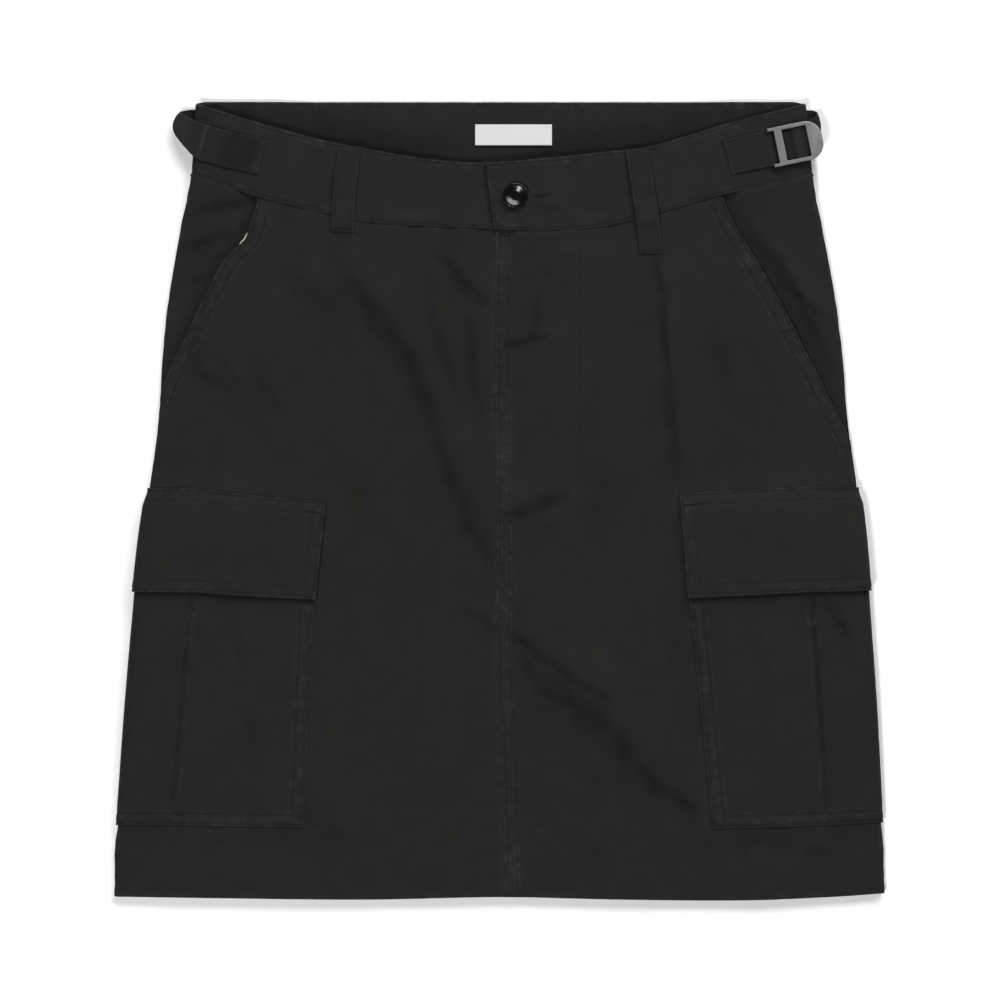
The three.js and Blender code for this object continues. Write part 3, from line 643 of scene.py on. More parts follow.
def front_painted_shade(x, y, inward, share):
    # Painted shade in the fold troughs, kept off the cargo pocket and faded out below the waist seam.
    edge = eased(inward, POCKET_HALF + 1, POCKET_HALF + 8)
    clear = eased(share, 0.085, 0.06) + eased(share, 0.575, 0.6)
    return crease_shade(FOLDS + CREASES, x, y) * np.maximum(edge, clear) * eased(share, 0.995, 0.96)


# %% Rubbed patches
PATCHES = [
    (3.5, 166, 7, 3, 1.0),
    (-51, 171.5, 14, 2.5, 0.8),
    (55.5, 171, 12, 4, 1.0),
    (3, 147, 4, 9, 1.1),
    (3.5, 34, 5, 22, 1.1),
    (4, -50, 6, 24, 0.8),
    (5, -110, 4, 28, 0.5),
    (8, -220, 7, 14, 1.0),
    (45, 152, 14, 4, 0.5),
    (-141, 173, 5, 8, 0.8),
    (150, 145, 4, 4, 0.8),
    (-157, -192.5, 36, 2.6, 0.8),
    (179, -192, 20, 3, 1.0),
    (115, 1, 7, 4, 0.7),
    (-7.5, 115, 1.6, 1.6, 1.6),
]


def patches(x, y):
    """Places where the cloth was rubbed pale: middle, reach across and up, and how much."""
    rubbed = np.zeros(np.shape(x))
    for middle_x, middle_y, wide, tall, much in PATCHES:
        rubbed += much * np.exp(-(((x - middle_x) / wide) ** 4) - ((y - middle_y) / tall) ** 4)
    return rubbed


print("folds", len(FOLDS), "creases", len(CREASES), "and rubbed patches", len(PATCHES))

# %% [markdown]
# ## Cloth walls
# A cloth piece is a thin wall: an outer and an inner face a little apart that close round its folded edges.
# The piece is laid out as a grid of places on the body, closer together at seams, and both faces come from
# the same places. Where a seam is sewn, the thread pulls the cloth down into a narrow groove and the cloth
# beside it puckers. Grid lines run along each sewn line, so a groove needs no extra faces elsewhere.

# %% Grid places
GROOVE = [-1.7, -0.9, -0.4, 0.0, 0.4, 0.9, 1.7]
RIM = (0.08, 0.3, 0.8)
AT_SEAM = 0.2


def places(start, end, step, sewn=(), rims=(True, True)):
    """Places from start to end, closer at the rims and at sewn lines."""
    count = max(int(round((end - start) / step)), 2)
    regular = np.linspace(start, end, count + 1)
    special = [place + offset for place in sewn for offset in GROOVE]
    if rims[0]:
        special += [start + inset for inset in RIM]
    if rims[1]:
        special += [end - inset for inset in RIM]
    special = np.array([p for p in special if start < p < end])
    if len(special):
        near = np.abs(regular[:, None] - special[None, :]).min(axis=1)
        keep = near > step * 0.35
        keep[0] = keep[-1] = True
        regular = regular[keep]
    return np.unique(np.round(np.concatenate([regular, special]), 4))


# %% Meshes from grids
def both_faces(grid):
    """Values of a grid for the outer face's points, and then for the inner face's."""
    values = np.shape(grid)[2:]
    return np.concatenate([grid.reshape(-1, *values), grid[1:-1, 1:-1].reshape(-1, *values)])


def mesh_piece(name, points, quads, grain, marks, material):
    """A mesh in the scene, with its cloth map and its marks of wear and painted shade. Grids of values cover
    both its faces.
    """
    if grain.ndim == 3:
        grain = both_faces(grain)
    points = np.stack([points[:, 0], points[:, 1], np.maximum(points[:, 2], 0)], axis=1)
    mesh = bpy.data.meshes.new(name)
    mesh.vertices.add(len(points))
    mesh.vertices.foreach_set("co", (points * MM).ravel())
    mesh.loops.add(quads.size)
    mesh.loops.foreach_set("vertex_index", quads.ravel())
    mesh.polygons.add(len(quads))
    mesh.polygons.foreach_set("loop_start", np.arange(0, quads.size, 4))
    mesh.update(calc_edges=True)
    mesh.validate()
    layer = mesh.uv_layers.new(name="grain")
    corners = np.empty(len(mesh.loops), int)
    mesh.loops.foreach_get("vertex_index", corners)
    layer.data.foreach_set("uv", (grain[corners] * MM).ravel())
    for mark, values in marks.items():
        attribute = mesh.attributes.new(mark, "FLOAT", "POINT")
        attribute.data.foreach_set("value", both_faces(values) if values.ndim == 2 else values)
    mesh.shade_smooth()
    mesh.materials.append(material)
    return put_in_scene(name, mesh)


def outward(points, faces):
    a, b, c, d = (points[faces[:, k]] for k in range(4))
    volume = np.einsum("ij,ij->", a, np.cross(b, c)) + np.einsum("ij,ij->", a, np.cross(c, d))
    return faces if volume > 0 else faces[:, ::-1]


def close_wall(outer, inner):
    """Joins two like grids that share their rims into one closed set of points and faces."""
    rows, columns = outer.shape[:2]
    number = np.arange(rows * columns).reshape(rows, columns)
    inside = np.array(number)
    inside[1:-1, 1:-1] = rows * columns + np.arange((rows - 2) * (columns - 2)).reshape(rows - 2, columns - 2)
    points = np.concatenate([outer.reshape(-1, 3), inner[1:-1, 1:-1].reshape(-1, 3)])
    quad = lambda g: np.stack([g[:-1, :-1], g[:-1, 1:], g[1:, 1:], g[1:, :-1]], axis=-1).reshape(-1, 4)
    faces = np.concatenate([quad(number), quad(inside)[:, ::-1]])
    return points, outward(points, faces)


def edge_round(rim, half):
    """How far apart the faces are, from 0 at the rim to 1 where the wall is as thick as it gets."""
    return np.sqrt(1 - (1 - np.clip(rim / half, 0, 1)) ** 2)


# %% A cloth piece
GRAIN_MIDDLE = 185


class Cloth:
    """A piece of cloth on the body: where it lies, its layers, its sewn lines and how worn its edges are."""

    def __init__(self, name, side, lift, thick=0.9, folds=None, hollows=None, sewn=(), faint=(), depth=0.3,
                 pucker=0.22, rise=None, wear=1.0):
        self.name = name
        self.side = side
        self.lift = lift
        self.thick = thick
        self.folds = folds
        self.hollows = hollows
        self.sewn = [np.asarray(line, float) for line in [*sewn, *faint]]
        self.strength = [1.0] * len(sewn) + [0.3] * len(faint)
        self.depth = depth
        self.pucker = pucker
        self.rise = rise
        self.wear = wear

    def pull(self, inward, up):
        """How far the sewing pulls the cloth in at a place, from lines of (inward, up) places."""
        pulled = np.zeros(np.shape(inward))
        wave = rippled(inward, up, 4.5, 11) + 0.9 * rippled(inward, up, 9.5, 12)
        for line, strength in zip(self.sewn, self.strength):
            away, _ = off_path(line, inward, up)
            pulled -= strength * self.depth * np.exp(-((away / 0.75) ** 2))
            pulled += strength * self.pucker * wave * np.exp(-((away / 4.0) ** 2))
        return pulled

    def at(self, inward, up, out=0.0):
        """Points at places on the piece, out from its middle layer, with the way out of the cloth."""
        inward = np.asarray(inward, float)
        up = np.asarray(up, float)
        share = share_of(up)
        lift = self.lift(inward, share) if callable(self.lift) else self.lift + 0 * inward
        if self.rise is not None:
            share = share + self.rise(inward, share)
        return on_body(self.side, inward, share, lift + self.pull(inward, up) + out, self.folds)

    def marks(self, outer, inward, up, rim):
        """How worn the cloth is at its edges and sewn lines, and how much painted shade darkens its folds,
        sewn lines and shaded places, less where it was rubbed pale.
        """
        x, y = outer[..., 0], outer[..., 1]
        share = share_of(up)
        wear = self.wear(inward, share) if callable(self.wear) else self.wear
        worn = wear * np.exp(-rim / 1.2) * (0.75 + 0.5 * rippled(inward, up, 7, 17))
        hollow = np.zeros(np.shape(worn))
        if self.hollows is not None:
            hollow = self.hollows(x, y, inward, share)
        uneven = 0.3 + 0.55 * rippled(inward, up, 6, 18)
        drawn = 0.5 + 0.5 * rippled(inward, up, 8, 20)
        # Beside a sewn line the cloth is rubbed pale, and in its groove it gets painted shade.
        for line, strength in zip(self.sewn, self.strength):
            away, _ = off_path(line, inward, up)
            worn = np.maximum(worn, strength * uneven * np.exp(-(((away - 1.5) / 1.0) ** 2)))
            hollow = np.maximum(hollow, 0.55 * strength * drawn * np.exp(-((away / 0.8) ** 2)))
        if self.folds is not None:
            rubbed = patches(x, y) * (0.7 + 0.5 * rippled(inward, up, 4, 33))
            worn, hollow = worn + 0.25 * rubbed, hollow - 0.55 * rubbed
        return {"worn": worn, "hollow": hollow}

    def make(self, inward, up, slot="twill", material=None, turned=None, grain_turned=False, cut_alone=True):
        side = np.asarray(self.side, float)
        if side.ndim:
            first = np.minimum(*(np.abs(self.across(inward, up, k)) for k in (0, -1)))
        else:
            first = np.minimum(np.abs(inward - inward[:, :1]), np.abs(inward - inward[:, -1:]))
        rim = np.minimum(first, np.minimum(up - up[:1], up[-1:] - up))
        half = self.thick / 2
        inner_half = half + (turned(up) if turned else 0.0)
        outer, _ = self.at(inward, up, half * edge_round(rim, half))
        inner, _ = self.at(inward, up, -inner_half * edge_round(rim, half))
        points, faces = close_wall(outer, inner)
        middle = GRAIN_MIDDLE if side.ndim else 0
        grain = np.stack([side * (inward + middle) + 0 * up, up + 0 * inward], axis=-1)
        if grain_turned:
            grain = grain[..., ::-1]
        marks = self.marks(outer, inward, up, rim)
        piece = mesh_piece(self.name + "_cloth", points, faces, grain, marks, material or twill)
        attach(piece, "root")
        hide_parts(self.name)
        if cut_alone:
            lay_flat(piece, outer)
        return piece

    def across(self, inward, up, column):
        x = on_body(self.side, inward, share_of(up), 0 * inward)[0][..., 0]
        return x - x[:, [column]]


def share_of(up):
    """A place's share of the way up, from its distance above the hem along the side seam."""
    up = np.asarray(up, float)
    return np.where(up <= LENGTH, up / LENGTH, 1 + (up - LENGTH) / BAND_LENGTH)


# %% [markdown]
# ### Each piece's cut
# Every cloth piece is noted in a table of sheets with the size it was cut to and its drawn area.
# The size is measured along the piece's own grid.


# %% Record a sheet
sheets = {}


def lay_flat(piece, face):
    rows = np.linalg.norm(np.diff(face, axis=1), axis=-1).sum(axis=1)
    columns = np.linalg.norm(np.diff(face, axis=0), axis=-1).sum(axis=0)
    one, other = face[1:, 1:] - face[:-1, :-1], face[1:, :-1] - face[:-1, 1:]
    area = np.linalg.norm(np.cross(one, other), axis=-1).sum() / 2
    width = rows.max() * MM
    length = columns.max() * MM
    sheets[piece.name] = {"flat": (width, length), "area": min(area * MM * MM, width * length)}
    print(piece.name, "cut", round(width / MM), "x", round(length / MM), "mm")


# %% [markdown]
# ## Back panel
# The back is one piece from side seam to side seam, with its hem turned up inside. It lies face down on the
# floor, so its outer side stays flat. The grid crosses both side halves in one run.


# %% Back
HEM_LINE = HEM_TURN - 1.5
BACK_EVEN = 130
HALF_BACK = 190
FILL_STEP = 6


def both_sides(half_places, up):
    """A grid over the back from the left seam to the right, as side and inward arrays."""
    share = share_of(up)[:, None]
    left_middle = inward_of(-1, share, 0.0)
    right_middle = inward_of(1, share, 0.0)
    last = half_places[-1]
    fill = np.linspace(0, 1, max(int((HALF_BACK - last) / FILL_STEP), 6) + 1)[1:]
    left = np.concatenate([half_places + 0 * left_middle, last + fill * (left_middle - last)], axis=1)
    right = np.concatenate([half_places + 0 * right_middle, last + fill * (right_middle - last)], axis=1)
    inward = -np.concatenate([left, right[:, -2::-1]], axis=1)
    side = np.concatenate([-np.ones(left.shape[1]), np.ones(right.shape[1] - 1)])
    return side[None, :] + 0 * inward, inward, up[:, None] + 0 * inward


def back_hem_turn(up):
    return CLOTH * (1 - eased(up, HEM_TURN - 1.2, HEM_TURN))


back_places = places(AT_SEAM, BACK_EVEN, 5, (), (True, False))
back_rows = places(0, LENGTH, 5, (HEM_LINE,))
back_side, back_inward, back_up = both_sides(back_places, back_rows)
back_line = [(-500, HEM_LINE), (0, HEM_LINE)]
back = Cloth("back_panel", back_side, 0.0, sewn=[back_line], depth=0.2, pucker=0.04)
back.make(back_inward, back_up, turned=back_hem_turn)

# %% [markdown]
# ## Fronts
# Each front is cut away along a slanting pocket mouth, which is folded and sewn in two rows. The two fronts
# meet in the middle. Only the right one carries the fly's row of stitches, which runs down beside the opening
# and curves in below it like a J. The folds belong to the fronts, so only they and what lies on them rise
# with them.

# %% Pocket mouths and the fly's stitching
MOUTHS = {
    -1: [(0.69, 0), (0.765, 12), (0.78, 15.6), (0.895, 30), (0.935, 40), (1, 42)],
    1: [(0.63, 0), (0.64, 2.4), (0.6935, 12), (0.766, 25), (0.903, 44.8), (0.945, 51), (1, 56)],
}
FLY_ROW = [
    *[(50, 428), (50, 340), (50, 285), (49.2, 262), (46.5, 249)],
    *[(41, 239), (32, 232.5), (21, 229.5), (9.5, 228)],
]
MOUTH_ROWS = (1.7, 7.8)
STRIP_WIDTH = 8.7
FLY_FOOT = 0.55
UNDER_BAND = 0.9


def mouth_at(side, share):
    return np.interp(share, *zip(*MOUTHS[side]))


def beside_mouth(side, inward, start, end=LENGTH - 1.5):
    """A line beside the side seam, and further up beside the pocket mouth and the seam below its foot."""
    ups = np.linspace(start, end, 60)
    return np.stack([mouth_at(side, ups / LENGTH) + inward, ups], axis=1)


def beside_centre(side, inward, start, end):
    ups = np.linspace(start, end, 24)
    return np.stack([centre_inward(side, ups / LENGTH) - inward, ups], axis=1)


def along_hem(side, up):
    return np.array([(4.5, up), (centre_inward(side, np.array(up / LENGTH)) - 0.5, up)])


# %% Cloth of the fronts
def front_sewing(side):
    mouth_foot = MOUTHS[side][0][0] * LENGTH
    return [beside_mouth(side, MOUTH_ROWS[0], 2), beside_mouth(side, MOUTH_ROWS[1], mouth_foot - 4)]


def faint_sewing(side):
    """The fly's row and the hem's, which hardly mark the cloth."""
    lines = []
    if side > 0:
        ups = np.array([up for _, up in FLY_ROW], float)
        offsets = np.array([offset for offset, _ in FLY_ROW], float)
        fine = np.linspace(0, 1, 60)
        marks = np.linspace(0, 1, len(ups))
        ups = through(marks, ups)(fine)
        offsets = through(marks, offsets)(fine)
        lines.append(np.stack([centre_inward(side, ups / LENGTH) - offsets, ups], axis=1))
    return [*lines, along_hem(side, HEM_LINE)]


def front_grid(side):
    rows = places(0, LENGTH, 1.9, (HEM_LINE,))
    if side > 0:
        rows = np.unique(np.concatenate([rows[(rows < 226) | (rows > 264)], np.arange(226, 264.1, 1.1)]))
    rows = np.append(rows[rows < LENGTH - 1], [LENGTH - 1, LENGTH, LENGTH + UNDER_BAND])
    share = np.minimum(rows[:, None] / LENGTH, 1)
    first = np.maximum(mouth_at(side, share), AT_SEAM)
    last = centre_inward(side, share)
    near = places(0, 14, 1.6, MOUTH_ROWS, (True, False))
    far = np.array([0, *RIM, 2, 4, 6.5, STRIP_WIDTH])
    if side > 0:
        far = np.concatenate([far, np.arange(STRIP_WIDTH + 1.3, 54, 1.3)])
    start = first + near[-1]
    end = last - far[-1]
    count = int((end - start).mean() / 1.8)
    middle = start + (end - start) * np.linspace(0, 1, count + 1)[1:-1]
    return np.concatenate([first + near, middle, last - far[::-1]], axis=1), rows[:, None]


def mouth_lift(side):
    """The mouth's fold stands up a little in waves, because it was stretched in wear."""

    def lift(inward, share):
        beside = inward - mouth_at(side, share)
        open_part = eased(share, 0.7, 0.8) * eased(share, 0.99, 0.95)
        wave = 0.35 + 0.65 * rippled(share * LENGTH, 0 * beside, 15, 71)
        return np.maximum(wave, 0) * open_part * np.exp(-beside / 5)

    return lift


SIDE_NAMES = {-1: "left", 1: "right"}
fronts = {}
for side, side_name in SIDE_NAMES.items():
    fronts[side] = Cloth("front_panel_" + side_name, side, mouth_lift(side), folds=front_folds,
                         hollows=front_painted_shade, sewn=front_sewing(side), faint=faint_sewing(side), wear=1.3)
    front_inward, front_up = front_grid(side)
    fronts[side].make(front_inward, front_up + 0 * front_inward, turned=back_hem_turn)

# %% [markdown]
# ## Slant pockets
# Beside each mouth the hip piece shows, from the side seam to the fold of the front, and runs on under it.
# The lining bag hangs from it inside. Only a sliver of the lining shows on the left.


# %% Hip pieces and bags
FACING_DEPTH = 28
FACING_UNDER = 4
FACING_LEAST = 13
HIP_ROLL = 4.4
BAG_WIDTH = 46
BAG_FOOT = 0.62
UNDER_SEAM = LENGTH * 0.9996
# Width, swell height, darkness of the painted shade in the trough, and path, as for the body's folds.
HIP_FOLDS = [
    (4.0, 1.2, 0.9, [(-182, 172), (-168, 176), (-142, 181)]),
    (3.4, 1.0, 0.9, [(-189, 151), (-172, 156), (-152, 161)]),
    (3.0, 0.7, 0.6, [(-190, 130), (-178, 133), (-168, 140)]),
    (4.6, 1.4, 1.0, [(141, 169), (148, 160), (153, 155), (161, 145), (168, 134)]),
    (4.4, 1.2, 1.0, [(160, 147), (169, 138), (176, 124), (182, 113), (190, 98), (200, 74)]),
    (3.2, 1.0, 0.9, [(170, 129), (184, 117), (200, 108)]),
]


def hip_folds(x, y, inward, share):
    height = swells(HIP_FOLDS, x, y) + 0.15 * (1 + rippled(x, y, 21, 8))
    return height * eased(inward, 3, 16) * eased(share, 0.99, 0.93) + 0.85 * eased(share, 0.95, 1)


def hip_painted_shade(side):
    """Painted shade on the hip piece: darkest next to the mouth, where the front's folded edge shades it, and
    in its fold troughs.
    """

    def hollows(x, y, inward, share):
        beside = mouth_at(side, share) - inward
        return np.maximum(crease_shade(HIP_FOLDS, x, y), 0.7 * eased(beside, 9, 1))

    return hollows


def make_slant_pocket(side, side_name):
    foot = MOUTHS[side][0][0] * LENGTH
    up = places(foot - FACING_UNDER, LENGTH + UNDER_BAND, 2.2)[:, None]
    hidden = np.maximum(mouth_at(side, np.minimum(up / LENGTH, 1)), FACING_LEAST)
    last = hidden + FACING_DEPTH
    roll = places(AT_SEAM, HIP_ROLL, 0.9, MOUTH_ROWS[:1], (True, False))
    spread = HIP_ROLL + (last - HIP_ROLL) * np.linspace(0, 1, 42)[1:]
    inward = np.concatenate([roll + 0 * last, spread], axis=1)
    beside = lambda place, share: mouth_at(side, share) - place
    lift = lambda place, share: -PLY * ramp(beside(place, share), 15, 3)
    folds = lambda x, y, place, share: hip_folds(x, y, place, share) * ramp(beside(place, share), 3, 12)
    seam = [(MOUTH_ROWS[0], foot + 4), (MOUTH_ROWS[0], LENGTH - 2)]
    hip = Cloth("pocket_facing_" + side_name, side, lift, folds=folds, hollows=hip_painted_shade(side), sewn=[seam])
    hip.make(inward, up + 0 * inward)

    bag_up = places(BAG_FOOT * LENGTH, UNDER_SEAM, 6)[:, None]
    start = np.maximum(mouth_at(side, bag_up / LENGTH), FACING_LEAST) + FACING_DEPTH + SEAM + 0.1
    bag_inward = start + places(0, BAG_WIDTH, 6)[None, :]
    bag = Cloth("pocket_bag_" + side_name, side, -PLY, thick=0.8)
    bag.make(bag_inward, bag_up + 0 * bag_inward, slot="bag_cloth", material=lining)


for side, side_name in SIDE_NAMES.items():
    make_slant_pocket(side, side_name)


# %% A sliver of lining
LINING_SHOWS = (399, 408)


def make_lining_edge():
    """The lining's pale edge peeps out of the left mouth over a finger's width."""
    up = np.linspace(*LINING_SHOWS, 16)[:, None]
    reach = 0.2 + 0.9 * np.sin(math.pi * ramp(up, *LINING_SHOWS)) ** 0.8
    inward = mouth_at(-1, up / LENGTH) + 0.2 - reach * np.linspace(0, 1, 6)[None, :]
    edge = Cloth("lining_edge", -1, 0.45, thick=0.4)
    faces_of_wall = [edge.at(inward, up + 0 * inward, out)[0] for out in (0.2, -0.2)]
    points, faces = close_wall(*faces_of_wall)
    grain = np.stack([inward, up + 0 * inward], axis=-1)
    piece = mesh_piece("pocket_lining_edge_left", points, faces, grain, {}, lining)
    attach(piece, "root")
    return piece


lining_edge = make_lining_edge()

# %% [markdown]
# ## Fly and centre seam
# Below the waistband the right front's folded edge covers the closing, and from its foot to the hem the two
# fronts are joined by a felled seam, its edges tucked in and sewn flat in two rows. Both are narrow strips
# laid on the fronts, so they are walls of their own and follow the same folds.


# %% Strips in the middle
STRIP_LIFT = 0.55
STRIP_OVER = 0.7
STRIP_ROWS = (1.4, STRIP_WIDTH - 1.4)
RUBBED_STRIP = [(0.02, 0.1), (0.41, 0.53), (0.61, 0.76), (0.95, 1.2)]
RUBBED_EASE = 0.03


def strip_wear(inward, share):
    """The strips' edges are rubbed pale over four stretches, and hardly between them."""
    rubbed = 0.0
    for low, high in RUBBED_STRIP:
        rubbed = rubbed + eased(share, low - RUBBED_EASE, low) * eased(share, high + RUBBED_EASE, high)
    return 0.45 + rubbed


def make_strip(name, start, end):
    up = places(start, end, 1.3)[:, None]
    centre = centre_inward(1, np.minimum(up / LENGTH, 1))
    offsets = places(-STRIP_OVER, STRIP_WIDTH, 1.5, STRIP_ROWS)[None, ::-1]
    uneven = 0.3 * rippled(up, offsets * 0.1, 11, 23) + 0.2 * rippled(up, offsets * 0.1, 4, 24)
    inward = centre - offsets + uneven
    sewn = [beside_centre(1, offset, start + 1, end - 1) for offset in STRIP_ROWS]
    strip = Cloth(name, 1, STRIP_LIFT, thick=0.7, folds=front_folds, hollows=front_painted_shade, sewn=sewn,
                  depth=0.2, pucker=0.3, wear=strip_wear)
    return strip, strip.make(inward, up + 0 * inward, cut_alone=False)


fly_strip, fly_strip_piece = make_strip("fly_strip", FLY_FOOT * LENGTH, LENGTH + UNDER_BAND)
seam_strip, seam_strip_piece = make_strip("centre_seam_strip", 0, FLY_FOOT * LENGTH + STRIP_OVER)

fly_up = places(FLY_FOOT * LENGTH, UNDER_SEAM, 6)[:, None]
fly_inward = centre_inward(1, fly_up / LENGTH) - places(0, 50, 6)[None, ::-1]
fly_facing = Cloth("fly_facing", 1, -PLY)
fly_facing.make(fly_inward, fly_up + 0 * fly_inward)

# %% [markdown]
# ## Waistband
# The band is two layers with a stiffener between, sewn close to its upper and lower edges. Its right end lies
# over the left one under the button and comes down to the body beside it. The inside of the back band shows
# above the front one.

# %% Band
UNDERLAP_END = 21
OVERLAP_END = {"top": -8.7, "seam": -3.3}
OVERLAP_RISE = BAND + LAY_ROOM
OVERLAP_FLAT = 24
OVERLAP_DOWN = 44
BAND_EVEN = 160
RIGHT_EVEN = 130
BAND_LOW = LENGTH + 0.004 * BAND_LENGTH
BAND_HIGH = LENGTH + BAND_LENGTH
BAND_ROWS = (BAND_LOW + 1.8, BAND_HIGH - 1.8)
# Band creases, and painted shadows beside the straps' edges: width, swell height, how dark, path.
BAND_CREASES_AND_SHADOWS = [
    (1.6, 0.5, 1.0, [(-185, 233), (-181, 231), (-177, 228.5), (-170, 223.5), (-163, 221)]),
    (1.7, 0.4, 0.8, [(18, 177), (29, 175.5), (41, 174.5)]),
    (0.8, 0.3, 0.7, [(17, 182.8), (23, 182.6), (31, 182.8)]),
    (1.1, 0.3, 1.0, [(139, 194.6), (147, 196.4), (157, 198.4), (168, 200.4)]),
    (1.2, 0.3, 1.0, [(-181, 204.4), (-171, 201.6), (-160, 198.6), (-149, 196)]),
    (1.1, 0.3, 0.7, [(-163, 221), (-157, 218.8), (-149, 216.6)]),
    (1.6, 0.4, 0.7, [(10.5, 172), (11, 165)]),
]


def band_wear(inward, share):
    """The band's head is rubbed pale in spots, its foot hardly."""
    spots = 0.5 + 1.2 * ramp(rippled(inward, 0 * inward, 4.4, 28), -0.1, 0.8)
    return spots * (0.2 + 1.9 * eased(share, 1.2, 1.8))


BAND_LOOK = {"thick": 1.9, "depth": 0.3, "pucker": 0.26, "wear": band_wear}


def band_lines(places_along):
    return [np.stack([places_along, 0 * places_along + up], axis=1) for up in BAND_ROWS]


def band_folds(x, y, inward, share):
    low = 0.12 * (1 + rippled(x, y, 17, 21)) + 0.1 * (1 + rippled(x + 0.4 * y, 0.35 * y, 6.5, 22))
    gathered = 0.28 * rippled(x, 0.3 * y, 5.5, 25) * np.exp(-(((share - 1) / 0.16) ** 2))
    return (low + gathered) * eased(np.abs(inward), 4, 14) + swells(BAND_CREASES_AND_SHADOWS, x, y)


def band_painted_shade(x, y, inward, share):
    """Painted shade in short creases between the stitches at the band's foot and head, and in the listed band
    creases and strap-edge shadows.
    """
    foot = ramp(rippled(x, 0.2 * y, 4.6, 26), 0.25, 0.9) * np.exp(-(((share - 1.02) / 0.09) ** 2))
    head = ramp(rippled(x, 0.2 * y, 5.2, 27), 0.3, 0.9) * np.exp(-(((share - 1.93) / 0.05) ** 2))
    return np.maximum(0.7 * np.maximum(foot, head), crease_shade(BAND_CREASES_AND_SHADOWS, x, y))


band_up = places(BAND_LOW, BAND_HIGH, 2.6, BAND_ROWS)
band_half = places(AT_SEAM, BAND_EVEN, 2, (), (True, False))
back_band_side, back_band_inward, back_band_up = both_sides(band_half, band_up)


def inside_painted_shade(x, y, inward, share):
    """Painted shade on the inside of the back band: darkest just above the front band's top edge, less in the
    middle.
    """
    above = y - top_at(x)
    sides = (0.4 + 0.6 * eased(np.abs(x), 15, 45)) * (1 - 0.45 * eased(np.abs(x), 100, 130))
    corner = 0.8 * np.exp(-(((np.abs(x) - 155) / 12) ** 2))
    deep = eased(above, 26, 2) * np.maximum(sides, corner) * eased(np.abs(x), 186, 160)
    return deep * (0.9 + 0.1 * rippled(x, y, 30, 29))


back_band = Cloth("waistband_back", back_band_side, BAND_LIFT, hollows=inside_painted_shade,
                  sewn=band_lines(np.array([-500.0, 0.0])), **BAND_LOOK)
back_band.make(back_band_inward, back_band_up, grain_turned=True)

band_share = share_of(band_up)[:, None]
left_end = inward_of(-1, band_share, UNDERLAP_END)
left_rest = BAND_EVEN + (left_end - BAND_EVEN) * places(0, 1, 0.05)[1:]
left_inward = np.concatenate([band_half + 0 * left_end, left_rest], axis=1)
left_band = Cloth("waistband_front_left", -1, BAND_LIFT, folds=band_folds, hollows=band_painted_shade,
                  sewn=band_lines(np.array([3.0, 186.0])), **BAND_LOOK)
left_band.make(left_inward, band_up[:, None] + 0 * left_inward, grain_turned=True)


def overlap_lift(inward, share):
    x = inward_of(1, share, 0.0) - inward
    return BAND_LIFT + OVERLAP_RISE * eased(x, OVERLAP_DOWN, OVERLAP_FLAT)


end_slant = (OVERLAP_END["top"] - OVERLAP_END["seam"]) * (band_share - 1)
right_end = inward_of(1, band_share, OVERLAP_END["seam"] + end_slant)
tail = places(0, 1, 0.032, (), (False, False))
right_inward = np.concatenate([
    band_half[band_half < RIGHT_EVEN] + 0 * right_end,
    RIGHT_EVEN + (right_end - 3 - RIGHT_EVEN) * tail,
    right_end - np.array([2.4, 1.8, 1.4, *RIM[::-1], 0.0]),
], axis=1)
end_line = np.stack([(right_end - 1.8)[:, 0], band_up], axis=1)[4:-4:4]
BUTTONHOLE = {"from": 17, "to": 32, "up": LENGTH + 0.5 * BAND_LENGTH}
hole_share = share_of(BUTTONHOLE["up"])
buttonhole_line = [(inward_of(1, hole_share, BUTTONHOLE[end]), BUTTONHOLE["up"]) for end in ("from", "to")]
right_lines = [*band_lines(np.array([3.0, 190.0])), end_line]
right_band = Cloth("waistband_front_right", 1, overlap_lift, folds=band_folds, hollows=band_painted_shade,
                   sewn=right_lines, faint=[buttonhole_line], **BAND_LOOK)
right_band.make(right_inward, band_up[:, None] + 0 * right_inward, grain_turned=True)
BAND_TOP = on_body(-1, np.array(100.0), np.array(1.5), BAND_LIFT + BAND / 2)[0][2]
PANEL_TOP = on_body(-1, np.array(100.0), np.array(0.9), CLOTH / 2)[0][2]
STRAP_ZONE_TOP = on_body(-1, np.array(30.0), np.array(1.5), BAND_LIFT + BAND / 2)[0][2]
print("band top", round(float(BAND_TOP), 2), "strap zone top", round(float(STRAP_ZONE_TOP), 2))

# %% [markdown]
# ## Cargo pockets and flaps
# Each cargo pocket is one piece that folds round its side seam, so half of it shows and half lies under the
# skirt. It is sewn on at its edges and foot, and laid in a pleat at the front and at the back. Its flap lies
# over its mouth, sewn above it.

# %% Pocket sizes
POCKET_FOOT = 0.1
POCKET_TOP = 0.545
FLAP_HALF = 107.8
FLAP_FOOT = 0.424
FLAP_TOP = 0.568
FLAP_SEWN = 0.56
PLEAT_IN = 35
EDGE_ROWS = (1.6, 7.4)
POCKET_LEAN = {-1: 6, 1: -4}
POCKET_TILT = {-1: 0, 1: 0.0097}
TILT_ROWS = (0.4, 0.56)
PUFF = [(0.1, 0), (0.16, 1), (0.27, 2.2), (0.36, 2.5), (0.43, 2.5), (0.5, 1.8), (0.545, 0)]
puff_at = through(*zip(*PUFF))
